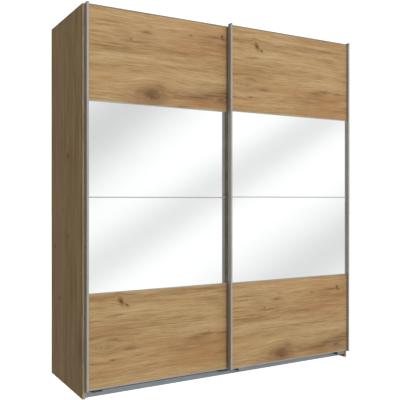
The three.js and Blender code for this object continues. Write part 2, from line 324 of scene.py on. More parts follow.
class Nodes:
    """One material's node tree, made by short calls that hand back output sockets."""

    def __init__(self, name: str) -> None:
        """Starts an empty tree in a new material.

        Args:
            name: the material's name.
        """
        self.material = bpy.data.materials.new(name)
        self.material.use_nodes = True
        self.tree = self.material.node_tree
        self.tree.nodes.clear()

    def feed(self, target: Socket, source: Value | Colour) -> None:
        """Links a socket to a target, or sets a plain value on it.

        Args:
            target: the input socket.
            source: another socket, a number or a colour.
        """
        if isinstance(source, bpy.types.NodeSocket):
            self.tree.links.new(source, target)
        else:
            target.default_value = (*source, 1.0) if target.type == "RGBA" else source

    def place(self) -> list[Socket]:
        """Splits the object coordinates.

        Returns:
            The sockets of x, y and z.
        """
        where = self.tree.nodes.new("ShaderNodeTexCoord")
        split = self.tree.nodes.new("ShaderNodeSeparateXYZ")
        self.feed(split.inputs[0], where.outputs["Object"])
        return list(split.outputs)

    def math(self, operation: str, first: Value, second: Value = 0.0) -> Socket:
        """One step of arithmetic on one or two numbers.

        Args:
            operation: the step's name.
            first: the first number.
            second: the second number, where the step takes two.

        Returns:
            The result.
        """
        node = self.tree.nodes.new("ShaderNodeMath")
        node.operation = operation
        self.feed(node.inputs[0], first)
        self.feed(node.inputs[1], second)
        return node.outputs[0]

    def vector(self, x: Value, y: Value, z: Value) -> Socket:
        """Three numbers as one vector.

        Args:
            x: the first number.
            y: the second number.
            z: the third number.

        Returns:
            The vector.
        """
        node = self.tree.nodes.new("ShaderNodeCombineXYZ")
        for target, source in zip(node.inputs, (x, y, z)):
            self.feed(target, source)
        return node.outputs[0]

    def noise(self, x: Value, y: Value, z: Value, detail: float = 2.0, roughness: float = 0.5) -> Socket:
        """Soft noise from 0 to 1 at a place given in the noise's own periods.

        Args:
            x: the place's first coordinate.
            y: the second.
            z: the third.
            detail: how many finer layers are added.
            roughness: how much each finer layer counts.

        Returns:
            The noise.
        """
        node = self.tree.nodes.new("ShaderNodeTexNoise")
        self.feed(node.inputs["Vector"], self.vector(x, y, z))
        node.inputs["Scale"].default_value = 1.0
        node.inputs["Detail"].default_value = detail
        node.inputs["Roughness"].default_value = roughness
        return node.outputs["Fac"]

    def stretched(self, scales: tuple[float, float, float], seed: float, **settings: float) -> Socket:
        """Noise on the object coordinates, each multiplied by its own scale."""
        x, y, z = (self.math("MULTIPLY", c, s) for c, s in zip(self.place(), scales))
        return self.noise(self.math("ADD", x, seed), y, z, **settings)

    def between(self, value: Value, low: float, high: float, out: tuple[float, float] = (0.0, 1.0)) -> Socket:
        """A soft step, 3t^2 - 2t^3, as a value goes from low to high.

        Args:
            value: the value.
            low: where the step starts.
            high: where it ends.
            out: what it gives at its start and at its end.

        Returns:
            The step.
        """
        node = self.tree.nodes.new("ShaderNodeMapRange")
        node.interpolation_type = "SMOOTHSTEP"
        for target, source in zip(node.inputs, (value, low, high, *out)):
            self.feed(target, source)
        return node.outputs[0]

    def ramp(self, factor: Socket, stops: list[tuple[float, Colour]]) -> Socket:
        """A colour from a row of places and colours.

        Args:
            factor: the place on the row.
            stops: each place with its colour, in order.

        Returns:
            The colour.
        """
        node = self.tree.nodes.new("ShaderNodeValToRGB")
        elements = node.color_ramp.elements
        while len(elements) < len(stops):
            elements.new(0.5)
        for element, (position, colour) in zip(elements, stops):
            element.position = position
            element.color = (*colour, 1.0)
        self.feed(node.inputs[0], factor)
        return node.outputs[0]

    def blend(self, factor: Value, first: Socket | Colour, second: Socket | Colour) -> Socket:
        """Two colours mixed by a factor.

        Args:
            factor: the second colour's share, from 0 to 1.
            first: the first colour.
            second: the second colour.

        Returns:
            The mixed colour.
        """
        node = self.tree.nodes.new("ShaderNodeMix")
        node.data_type = "RGBA"
        self.feed(node.inputs[0], factor)
        self.feed(node.inputs[6], first)
        self.feed(node.inputs[7], second)
        return node.outputs[2]

    def bump(self, height: Socket, depth: float) -> Socket:
        """A surface direction from a height.

        Args:
            height: the height, from 0 to 1.
            depth: what a height of 1 is worth in metres.

        Returns:
            The direction.
        """
        node = self.tree.nodes.new("ShaderNodeBump")
        node.inputs["Distance"].default_value = depth
        self.feed(node.inputs["Height"], height)
        return node.outputs[0]

    def surface(self, colour: Socket | Colour, **inputs: Value) -> bpy.types.Material:
        """Ends the tree in one principled surface.

        Args:
            colour: the base colour.
            inputs: other sockets by name, with underscores for spaces.

        Returns:
            The finished material.
        """
        shader = self.tree.nodes.new("ShaderNodeBsdfPrincipled")
        end = self.tree.nodes.new("ShaderNodeOutputMaterial")
        self.feed(shader.inputs["Base Color"], colour)
        for name, value in inputs.items():
            self.feed(shader.inputs[name.replace("_", " ")], value)
        self.tree.links.new(shader.outputs[0], end.inputs[0])
        return self.material


@dataclass(frozen=True)
class Knot:
    """A knot: its heart's place on the board, half its size each way, how dark it is and how it leans."""

    along: float
    across: float
    half_length: float
    half_width: float
    darkness: float = 0.8
    lean: float = 0.0


@dataclass(frozen=True)
class Tint:
    """A soft cloud of another tone on the board."""

    along: float
    across: float
    half_length: float
    half_width: float
    strength: float
    colour: Colour


RED_OAK = srgb(164, 112, 68)
PALE_OAK = srgb(196, 166, 122)
HEARTWOOD = srgb(126, 90, 58)


@dataclass(frozen=True)
class OakDecor:
    """Matt oak decor whose growth lines run along the board and part round its knots.

    Each layer of its grain is a weight and a number of noise periods per metre along and across the grain.
    A drift is such a pair of numbers of periods for a slow change.
    """

    name: str
    along: Axis
    across: Axis
    origin: tuple[float, float] = (0.0, 0.0)
    seed: float = 0.0
    knots: tuple[Knot, ...] = ()
    tints: tuple[Tint, ...] = ()
    layers: tuple[tuple[float, float, float], ...] = (
        (0.26, 1.1, 13.0),
        (0.15, 2.6, 46.0),
        (0.10, 9.0, 60.0),
        (0.29, 5.0, 150.0),
        (0.20, 16.0, 420.0),
    )
    slow_drift: tuple[float, float] = (1.3, 3.4)
    slow_push: float = 0.04
    quick_drift: tuple[float, float] = (6.0, 17.0)
    quick_push: float = 0.008
    knot_push: float = 1.1
    light: Colour = srgb(197, 166, 121)
    middle: Colour = srgb(174, 143, 99)
    dark: Colour = srgb(141, 106, 66)
    amber: Colour = srgb(176, 134, 84)
    heart: Colour = srgb(86, 56, 32)
    pore: Colour = srgb(112, 84, 56)
    pore_share: float = 0.34
    pore_depth: float = 0.12 * MM

    def material(self) -> bpy.types.Material:
        """Builds the decor's node tree.

        The distance across the grain is warped by slow noise, and near a knot by
        -width * tanh(d / width) * exp(-falloff), so that lines of equal value bow round it. Streaks and
        pores are noise on that warped distance, stretched along the grain.

        Returns:
            The material.
        """
        n = Nodes(self.name)
        place = n.place()
        along = n.math("SUBTRACT", place[self.along], self.origin[0])
        across = n.math("SUBTRACT", place[self.across], self.origin[1])
        warped, dark, halo = self.warp(n, along, across)
        colour = self.streaks(n, along, warped)
        glow = self.drift(n, along, warped, (2.2, 11.0), self.seed + 33)
        amber = n.between(glow, 0.0, 0.18, (0.0, 0.45))
        colour = n.blend(amber, colour, self.amber)
        for tint in self.tints:
            colour = n.blend(self.cloud(n, tint, along, across), colour, tint.colour)
        colour = n.blend(halo, colour, HEARTWOOD)
        colour = n.blend(dark, colour, self.heart)
        pores = self.pores(n, along, warped)
        colour = n.blend(n.math("MULTIPLY", pores, self.pore_share), colour, self.pore)
        sheen = n.between(pores, 0.0, 1.0, (0.5, 0.65))
        relief = n.bump(n.math("SUBTRACT", 1.0, pores), self.pore_depth)
        return n.surface(colour, Roughness=sheen, Normal=relief, Specular_IOR_Level=0.22)

    def warp(self, n: Nodes, along: Socket, across: Socket) -> tuple[Socket, Socket, Socket]:
        """The warped distance across the grain, and how dark the knots and their halos are.

        Args:
            n: the decor's nodes.
            along: the distance along the grain.
            across: the distance across the grain.

        Returns:
            The warped distance, the knots' darkness and the halos' darkness.
        """
        slow = self.drift(n, along, across, self.slow_drift, self.seed)
        quick = self.drift(n, along, across, self.quick_drift, self.seed + 5)
        rough = self.drift(n, along, across, (55.0, 130.0), self.seed + 9)
        fine = self.drift(n, along, across, (70.0, 330.0), self.seed + 13)
        veins = n.between(fine, -0.2, 0.15, (0.55, 1.0))
        warped = n.math("ADD", across, n.math("MULTIPLY", slow, self.slow_push))
        warped = n.math("ADD", warped, n.math("MULTIPLY", quick, self.quick_push))
        dark: Value = 0.0
        halo: Value = 0.0
        for knot in self.knots:
            run = n.math("SUBTRACT", along, knot.along)
            rise = n.math("SUBTRACT", across, knot.across)
            rise = n.math("SUBTRACT", rise, n.math("MULTIPLY", run, knot.lean))
            far = n.math("DIVIDE", run, 3.2 * knot.half_length), n.math("DIVIDE", rise, 4 * knot.half_width)
            reach = self.length(n, *far)
            fall = n.math("EXPONENT", n.math("MULTIPLY", n.math("MULTIPLY", reach, reach), -1.0))
            push = n.math("TANH", n.math("DIVIDE", rise, knot.half_width))
            push = n.math("MULTIPLY", n.math("MULTIPLY", push, fall), -self.knot_push * knot.half_width)
            warped = n.math("ADD", warped, push)
            near = n.math("DIVIDE", run, knot.half_length), n.math("DIVIDE", rise, knot.half_width)
            edge = self.length(n, *near)
            edge = n.math("ADD", edge, n.math("MULTIPLY", rough, 1.1))
            dark = n.math("MAXIMUM", dark, n.between(edge, 0.3, 1.3, (knot.darkness, 0.0)))
            halo = n.math("MAXIMUM", halo, n.between(edge, 0.5, 2.8, (0.7 * knot.darkness, 0.0)))
        return warped, n.math("MULTIPLY", dark, veins), halo

    def drift(
        self, n: Nodes, along: Socket, across: Socket, scales: tuple[float, float], seed: float
    ) -> Socket:
        """Noise between about -0.5 and 0.5.

        Args:
            n: the decor's nodes.
            along: the distance along the grain.
            across: the distance across the grain.
            scales: the noise's periods per metre, along and across.
            seed: sets one noise apart from another.

        Returns:
            The noise.
        """
        x = n.math("MULTIPLY", along, scales[0])
        y = n.math("MULTIPLY", across, scales[1])
        return n.math("SUBTRACT", n.noise(x, y, seed), 0.5)

    def length(self, n: Nodes, x: Socket, y: Socket) -> Socket:
        """The length of a flat vector: the root of x^2 + y^2."""
        return n.math("SQRT", n.math("ADD", n.math("MULTIPLY", x, x), n.math("MULTIPLY", y, y)))

    def cloud(self, n: Nodes, tint: Tint, along: Socket, across: Socket) -> Socket:
        """How strongly a tint shows: its strength times exp(-r^2), r being the distance in half sizes.

        Args:
            n: the decor's nodes.
            tint: the tint.
            along: the distance along the grain.
            across: the distance across the grain.

        Returns:
            The tint's share of the colour.
        """
        run = n.math("DIVIDE", n.math("SUBTRACT", along, tint.along), tint.half_length)
        rise = n.math("DIVIDE", n.math("SUBTRACT", across, tint.across), tint.half_width)
        square = n.math("ADD", n.math("MULTIPLY", run, run), n.math("MULTIPLY", rise, rise))
        fade = n.math("EXPONENT", n.math("MULTIPLY", square, -1.0))
        patches = self.drift(n, along, across, (7.0, 34.0), self.seed + 21)
        patchy = n.between(patches, -0.2, 0.2, (0.25, 1.1))
        return n.math("MULTIPLY", n.math("MULTIPLY", fade, patchy), tint.strength)

    def streaks(self, n: Nodes, along: Socket, warped: Socket) -> Socket:
        """The growth lines' colour: the weighted sum of every layer of noise, put through a row of tones.

        Args:
            n: the decor's nodes.
            along: the distance along the grain.
            warped: the warped distance across the grain.

        Returns:
            The colour.
        """
        tone: Value = 0.0
        for weight, run, lines in self.layers:
            x = n.math("MULTIPLY", along, run)
            y = n.math("MULTIPLY", warped, lines)
            layer = n.noise(x, y, self.seed + lines, 3.0, 0.6)
            tone = n.math("ADD", tone, n.math("MULTIPLY", layer, weight))
        return n.ramp(tone, [(0.41, self.dark), (0.50, self.middle), (0.59, self.light)])

    def pores(self, n: Nodes, along: Socket, warped: Socket) -> Socket:
        """Short fine dashes along the grain, denser in some growth lines than in others.

        Args:
            n: the decor's nodes.
            along: the distance along the grain.
            warped: the warped distance across the grain.

        Returns:
            Where the pores are, from 0 to 1.
        """
        dashes = n.noise(n.math("MULTIPLY", along, 45.0), n.math("MULTIPLY", warped, 1100.0), self.seed, 1.0)
        dense = n.noise(n.math("MULTIPLY", along, 2.5), n.math("MULTIPLY", warped, 60.0), self.seed + 3)
        return n.math("MULTIPLY", n.between(dashes, 0.54, 0.68), n.between(dense, 0.35, 0.6, (0.25, 1.0)))


@dataclass(frozen=True)
class Brushed:
    """Satin metal with fine lines along one direction."""

    name: str
    along: Axis
    colour: Colour
    roughness: float = 0.45
    metallic: float = 0.35

    def material(self) -> bpy.types.Material:
        """Lines are noise of 3 periods a metre along the bar and 2600 across it.

        Returns:
            The material.
        """
        n = Nodes(self.name)
        scales = [2600.0, 2600.0, 2600.0]
        scales[self.along] = 3.0
        lines = n.stretched(tuple(scales), 1.0, detail=3.0)
        cloudy = n.stretched((9.0, 9.0, 9.0), 4.0)
        tone = n.blend(n.between(cloudy, 0.3, 0.7), self.colour, tuple(0.9 * c for c in self.colour))
        colour = n.blend(n.between(lines, 0.3, 0.7, (0.0, 0.25)), tone, tuple(0.6 * c for c in self.colour))
        rough = n.between(lines, 0.3, 0.7, (self.roughness - 0.06, self.roughness + 0.08))
        return n.surface(colour, Metallic=self.metallic, Roughness=rough, Normal=n.bump(lines, 0.01 * MM))


@dataclass(frozen=True)
class Moulded:
    """Moulded plastic with a fine spark-eroded grain."""

    name: str
    colour: Colour
    roughness: float = 0.5

    def material(self) -> bpy.types.Material:
        """The grain is noise of 1500 periods a metre, the slow change in tone one of 30.

        Returns:
            The material.
        """
        n = Nodes(self.name)
        grain = n.stretched((1500.0, 1500.0, 1500.0), 2.0, detail=2.0)
        slow = n.stretched((30.0, 30.0, 30.0), 7.0)
        lighter = tuple(1.25 * c + 0.004 for c in self.colour)
        colour = n.blend(n.between(slow, 0.35, 0.65), self.colour, lighter)
        rough = n.between(grain, 0.3, 0.7, (self.roughness - 0.07, self.roughness + 0.07))
        return n.surface(colour, Roughness=rough, Normal=n.bump(grain, 0.04 * MM))


@dataclass(frozen=True)
class Silvered:
    """Mirror glass, with a faint cloudiness where it was wiped."""

    name: str

    def material(self) -> bpy.types.Material:
        """Tone and roughness drift a little with slow noise.

        Returns:
            The material.
        """
        n = Nodes(self.name)
        wiped = n.stretched((4.0, 4.0, 9.0), 3.0, detail=3.0)
        colour = n.blend(n.between(wiped, 0.3, 0.7), (0.955, 0.962, 0.965), (0.965, 0.972, 0.975))
        return n.surface(colour, Metallic=1.0, Roughness=n.between(wiped, 0.35, 0.75, (0.012, 0.02)))


@dataclass(frozen=True)
class GlassEdge:
    """The ground, greenish edge of a sheet of glass and its grey back paint."""

    name: str

    def material(self) -> bpy.types.Material:
        """Ground glass is a fine noise between two grey greens.

        Returns:
            The material.
        """
        n = Nodes(self.name)
        ground = n.stretched((900.0, 900.0, 900.0), 6.0, detail=3.0)
        colour = n.blend(n.between(ground, 0.3, 0.7), srgb(70, 96, 88), srgb(120, 142, 134))
        return n.surface(colour, Roughness=0.35, Normal=n.bump(ground, 0.03 * MM))


@dataclass(frozen=True)
class Fibreboard:
    """Hardboard: pressed fibres, raw or under a printed paper face."""

    name: str
    colour: Colour
    fleck: Colour

    def material(self) -> bpy.types.Material:
        """Flecks are noise that is longer upwards, through a soft step.

        Returns:
            The material.
        """
        n = Nodes(self.name)
        fibres = n.stretched((260.0, 260.0, 120.0), 8.0, detail=4.0, roughness=0.7)
        clouds = n.stretched((6.0, 6.0, 6.0), 2.0)
        tone = n.blend(n.between(clouds, 0.3, 0.7), self.colour, tuple(0.93 * c for c in self.colour))
        colour = n.blend(n.between(fibres, 0.5, 0.75), tone, self.fleck)
        return n.surface(colour, Roughness=0.7, Normal=n.bump(fibres, 0.06 * MM))


@dataclass(frozen=True)
class Zinced:
    """Zinc-plated sheet with a faint spangle."""

    name: str

    def material(self) -> bpy.types.Material:
        """Spangles are cells of about 4 mm, each with its own tone.

        Returns:
            The material.
        """
        n = Nodes(self.name)
        cells = n.tree.nodes.new("ShaderNodeTexVoronoi")
        where = n.tree.nodes.new("ShaderNodeTexCoord")
        n.feed(cells.inputs["Vector"], where.outputs["Object"])
        cells.inputs["Scale"].default_value = 240.0
        tone = n.math("MULTIPLY", cells.outputs["Color"], 1.0)
        colour = n.blend(tone, srgb(150, 152, 156), srgb(182, 184, 188))
        rough = n.between(tone, 0.0, 1.0, (0.28, 0.42))
        return n.surface(colour, Metallic=1.0, Roughness=rough)


DECOR_A_KNOTS = (
    Knot(0.356, 0.057, 0.052, 0.031, 0.62),
    Knot(0.352, 0.052, 0.026, 0.014, 0.80),
    Knot(0.376, 0.074, 0.016, 0.009, 0.55),
    Knot(0.340, 0.068, 0.012, 0.006, 0.5),
    Knot(0.783, 0.412, 0.006, 0.009, 1.00),
    Knot(0.790, 0.399, 0.011, 0.004, 0.95),
    Knot(0.745, 0.404, 0.045, 0.004, 0.62),
    Knot(0.585, 0.393, 0.010, 0.004, 0.5),
    Knot(0.325, 0.374, 0.026, 0.006, 0.5),
    Knot(0.239, 0.331, 0.010, 0.005, 0.5),
    Knot(0.348, 0.408, 0.012, 0.004, 0.3),
    Knot(0.775, 0.062, 0.026, 0.014, 0.4),
    Knot(0.540, 0.052, 0.070, 0.004, 0.42),
    Knot(0.640, 0.064, 0.090, 0.004, 0.50),
    Knot(0.720, 0.082, 0.070, 0.004, 0.50),
    Knot(0.790, 0.100, 0.050, 0.004, 0.45),
    Knot(0.460, 0.078, 0.040, 0.003, 0.38),
)
DECOR_A_TINTS = (
    Tint(0.680, 0.335, 0.24, 0.085, 0.62, RED_OAK),
    Tint(0.760, 0.380, 0.13, 0.030, 0.42, HEARTWOOD),
    Tint(0.590, 0.033, 0.20, 0.018, 0.75, RED_OAK),
    Tint(0.610, 0.068, 0.22, 0.026, 0.75, HEARTWOOD),
    Tint(0.780, 0.080, 0.09, 0.050, 0.85, HEARTWOOD),
    Tint(0.405, 0.100, 0.035, 0.036, 0.55, HEARTWOOD),
    Tint(0.345, 0.040, 0.100, 0.045, 0.50, HEARTWOOD),
    Tint(0.480, 0.118, 0.06, 0.022, 0.45, PALE_OAK),
    Tint(0.250, 0.243, 0.40, 0.018, 0.55, PALE_OAK),
    Tint(0.600, 0.165, 0.30, 0.022, 0.40, PALE_OAK),
    Tint(0.100, 0.035, 0.12, 0.030, 0.35, PALE_OAK),
    Tint(0.250, 0.360, 0.11, 0.045, 0.32, HEARTWOOD),
    Tint(0.212, 0.285, 0.02, 0.030, 0.30, HEARTWOOD),
    Tint(0.450, 0.450, 0.30, 0.016, 0.35, RED_OAK),
)
DECOR_B_KNOTS = (
    Knot(0.185, 0.378, 0.011, 0.013, 1.00, -0.7),
    Knot(0.216, 0.357, 0.008, 0.006, 0.85, -0.5),
    Knot(0.170, 0.311, 0.030, 0.003, 0.5),
    Knot(0.125, 0.303, 0.025, 0.002, 0.4),
    Knot(0.110, 0.161, 0.040, 0.026, 0.2),
    Knot(0.238, 0.133, 0.030, 0.004, 0.5),
    Knot(0.686, 0.161, 0.040, 0.007, 0.5),
    Knot(0.700, 0.170, 0.008, 0.010, 0.3),
    Knot(0.790, 0.155, 0.040, 0.004, 0.4),
    Knot(0.600, 0.150, 0.040, 0.004, 0.4),
    Knot(0.140, 0.086, 0.009, 0.004, 0.6),
)
DECOR_B_TINTS = (
    Tint(0.620, 0.075, 0.30, 0.075, 0.48, RED_OAK),
    Tint(0.120, 0.055, 0.10, 0.050, 0.42, RED_OAK),
    Tint(0.570, 0.448, 0.11, 0.012, 0.60, RED_OAK),
    Tint(0.660, 0.408, 0.16, 0.007, 0.55, HEARTWOOD),
    Tint(0.700, 0.355, 0.12, 0.010, 0.45, RED_OAK),
    Tint(0.650, 0.135, 0.20, 0.030, 0.50, HEARTWOOD),
    Tint(0.230, 0.140, 0.10, 0.012, 0.40, HEARTWOOD),
    Tint(0.110, 0.225, 0.10, 0.040, 0.25, HEARTWOOD),
    Tint(0.400, 0.425, 0.30, 0.008, 0.45, PALE_OAK),
    Tint(0.350, 0.330, 0.30, 0.030, 0.35, PALE_OAK),
    Tint(0.450, 0.200, 0.25, 0.020, 0.30, PALE_OAK),
)


@dataclass(frozen=True)
class Finishes:
    """The finishes that more than one sub-assembly uses, each made once."""

    side_oak: bpy.types.Material
    flat_oak: bpy.types.Material
    upright_oak: bpy.types.Material
    side_band: bpy.types.Material
    flat_band: bpy.types.Material
    upright_metal: bpy.types.Material
    flank_metal: bpy.types.Material
    level_metal: bpy.types.Material
    head_metal: bpy.types.Material
    track_metal: bpy.types.Material
    zinc: bpy.types.Material
    chrome: bpy.types.Material
    black: bpy.types.Material
    grey: bpy.types.Material
    white: bpy.types.Material
    pile: bpy.types.Material
    mirror: bpy.types.Material
    glass_edge: bpy.types.Material
    back_paper: bpy.types.Material
    raw_board: bpy.types.Material

    @classmethod
    def make(cls) -> "Finishes":
        """Builds every shared finish.

        Returns:
            The finishes.
        """
        low = span("left_side_panel")[0]
        knots = (
            Knot(1.210, -0.007, 0.012, 0.020, 0.6),
            Knot(0.789, 0.000, 0.010, 0.018, 0.35),
            Knot(0.725, 0.221, 0.009, 0.011, 0.75),
            Knot(0.449, 0.136, 0.010, 0.014, 0.75),
            Knot(0.250, -0.207, 0.055, 0.012, 0.5),
        )
        pink = srgb(172, 128, 96)
        green = srgb(162, 144, 86)
        red = srgb(150, 96, 56)
        edge_brown = srgb(84, 72, 48)
        tints = (
            Tint(0.90, 0.168, 1.30, 0.040, 0.80, pink),
            Tint(1.00, 0.085, 1.10, 0.022, 0.65, green),
            Tint(0.90, -0.229, 1.60, 0.014, 0.95, red),
            Tint(1.18, -0.050, 0.10, 0.050, 0.45, red),
            Tint(0.28, -0.190, 0.12, 0.032, 0.50, srgb(140, 90, 70)),
            Tint(1.68, 0.270, 0.10, 0.050, 0.40, HEARTWOOD),
            Tint(0.97, 0.304, 3.00, 0.018, 1.00, edge_brown),
            Tint(1.948, 0.0, 0.008, 3.00, 1.00, edge_brown),
        )
        # The side panels' oak tones are set darker than the doors' oak: painted shade for faces turned from
        # the light. Their knots and tints are the board's own.
        side = dict(light=srgb(188, 155, 101), middle=srgb(161, 131, 82), dark=srgb(128, 100, 57))
        band = dict(light=srgb(184, 168, 140), middle=srgb(162, 146, 118), dark=srgb(138, 120, 92))
        aluminium = srgb(174, 170, 160)
        return cls(
            side_oak=OakDecor("oak_side", Axis.Z, Axis.Y, (0, 0), 31.0, knots, tints, **side).material(),
            flat_oak=OakDecor("oak_level", Axis.X, Axis.Y, seed=47.0).material(),
            upright_oak=OakDecor("oak_upright", Axis.Z, Axis.Y, seed=53.0).material(),
            side_band=OakDecor("oak_side_band", Axis.Z, Axis.X, (0, low[0]), 61.0, **band).material(),
            flat_band=OakDecor("oak_level_band", Axis.X, Axis.Z, seed=67.0).material(),
            upright_metal=Brushed("aluminium_upright", Axis.Z, aluminium).material(),
            # The stiles' flanks get a darker copy of the upright aluminium: painted shade on the sides turned
            # from the light.
            flank_metal=Brushed("aluminium_flank_painted_shade", Axis.Z, srgb(158, 153, 147)).material(),
            level_metal=Brushed("aluminium_level", Axis.X, aluminium).material(),
            head_metal=Brushed("aluminium_head", Axis.X, srgb(132, 126, 114)).material(),
            track_metal=Brushed("aluminium_track", Axis.X, srgb(140, 146, 151), 0.42).material(),
            zinc=Zinced("zinc_plate").material(),
            chrome=Brushed("chrome_tube", Axis.X, srgb(214, 216, 220), 0.14, 1.0).material(),
            black=Moulded("black_plastic", srgb(44, 42, 38)).material(),
            grey=Moulded("grey_nylon", srgb(122, 122, 120), 0.45).material(),
            white=Moulded("white_plastic", srgb(214, 211, 205)).material(),
            # The pile's grey is painted shade: the strip stands in for the shaded gap between the doors.
            pile=Moulded("grey_pile_painted_shade", srgb(114, 107, 96), 0.9).material(),
            mirror=Silvered("mirror_silver").material(),
            glass_edge=GlassEdge("glass_edge").material(),
            back_paper=Fibreboard("back_paper", srgb(214, 210, 201), srgb(196, 190, 178)).material(),
            raw_board=Fibreboard("raw_hardboard", srgb(150, 118, 86), srgb(112, 86, 60)).material(),
        )


# ---- Pieces --------------------------------------------------------------------------------


def weigh_normals(mesh: bpy.types.Mesh) -> None:
    """Shades flat faces flat and rounded edges round.

    A face corner's normal is the sum of area times normal over the faces that meet in its vertex at less
    than the sharp angle to its own face, so that a wide flat face outweighs the narrow strips round it.

    Args:
        mesh: the mesh.
    """
    corner = np.empty(len(mesh.loops), np.int32)
    sizes = np.empty(len(mesh.polygons), np.int32)
    areas = np.empty(len(mesh.polygons))
    normals = np.empty((len(mesh.polygons), 3))
    mesh.loops.foreach_get("vertex_index", corner)
    mesh.polygons.foreach_get("loop_total", sizes)
    mesh.polygons.foreach_get("area", areas)
    mesh.polygons.foreach_get("normal", normals.ravel())
    face = np.repeat(np.arange(len(sizes)), sizes)
    order = np.argsort(corner, kind="stable")
    ranked = corner[order]
    rank = np.arange(len(ranked)) - np.searchsorted(ranked, ranked)
    meeting = np.full((len(mesh.vertices), rank.max() + 1), -1)
    meeting[ranked, rank] = face[order]
    near = meeting[corner]
    facing = np.einsum("lkd,ld->lk", normals[near], normals[face])
    weight = np.where((near >= 0) & (facing > math.cos(SHARP_ANGLE)), areas[near], 0.0)
    summed = np.einsum("lk,lkd->ld", weight, normals[near])
    summed /= np.linalg.norm(summed, axis=1, keepdims=True)
    mesh.normals_split_custom_set(summed.tolist())


def add_piece(
    name: str,
    shells: list[Shell],
    body: str,
    finishes: list[bpy.types.Material],
    replaced: tuple[str, ...] = (),
    bevel: float = 0.0,
) -> bpy.types.Object:
    """Puts closed shells into the scene as one piece of the object.

    Args:
        name: the piece's name.
        shells: its closed shells.
        body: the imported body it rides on.
        finishes: its materials; the first one is on every face.
        replaced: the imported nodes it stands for.
        bevel: the width of a bevel on its sharp edges, or 0.

    Returns:
        The new object.
    """
    starts = np.cumsum([0] + [len(vertices) for vertices, _ in shells[:-1]])
    vertices = np.concatenate([vertices for vertices, _ in shells])
    faces = [[int(start) + k for k in face] for start, shell in zip(starts, shells) for face in shell[1]]
    mesh = bpy.data.meshes.new(name)
    mesh.from_pydata(vertices.tolist(), [], faces)
    edit = bmesh.new()
    edit.from_mesh(mesh)
    bmesh.ops.recalc_face_normals(edit, faces=edit.faces)
    edit.to_mesh(mesh)
    edit.free()
    mesh.polygons.foreach_set("use_smooth", np.ones(len(mesh.polygons), bool))
    mesh.set_sharp_from_angle(angle=SHARP_ANGLE)
    for finish in finishes:
        mesh.materials.append(finish)
    piece = bpy.data.objects.new(name, mesh)
    bpy.context.scene.collection.objects.link(piece)
    if bevel:
        soften = piece.modifiers.new("soft_edges", "BEVEL")
        soften.width = bevel
        soften.segments = 2
        soften.limit_method = "ANGLE"
        soften.harden_normals = True
    else:
        weigh_normals(mesh)
    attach(piece, body)
    if replaced:
        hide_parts(*replaced)
    log.info("%s on %s, %d faces", name, body, len(faces))
    return piece


def paint(piece: bpy.types.Object, axis: Axis, index: int, way: int = 0, across: bool = False) -> None:
    """Gives the faces that look along an axis, or across it, another of the piece's finishes.

    Args:
        piece: the piece.
        axis: the direction that counts.
        index: which finish they get.
        way: 1 or -1 for one way along the axis, or 0 for both.
        across: picks the faces that look across the axis instead.
    """
    normals = np.empty(len(piece.data.polygons) * 3)
    piece.data.polygons.foreach_get("normal", normals)
    lean = normals.reshape(-1, 3)[:, axis]
    lean = lean * way if way else np.abs(lean)
    picked = lean < FACING if across else lean > FACING
    indices = np.empty(len(picked), np.int32)
    piece.data.polygons.foreach_get("material_index", indices)
    piece.data.polygons.foreach_set("material_index", np.where(picked, index, indices).astype(np.int32))


def add_board(
    node: str,
    body: str,
    grain: Axis,
    thickness: Axis,
    decor: bpy.types.Material,
    band: bpy.types.Material,
    edge: float = 0.8 * MM,
) -> bpy.types.Object:
    """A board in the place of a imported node: decor on its two faces, band on its narrow edges.

    Args:
        node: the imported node.
        body: the body it rides on.
        grain: the direction of the grain.
        thickness: the direction across the board's faces.
        decor: the finish of its faces.
        band: the finish of its edges.
        edge: the radius of its edges.

    Returns:
        The board.
    """
    low, high = span(node)
    shell = softened_box(low, high, grain, edge)
    board = add_piece(f"{node}_board", [shell], body, [decor, band], (node,))
    paint(board, thickness, 1, across=True)
    return board


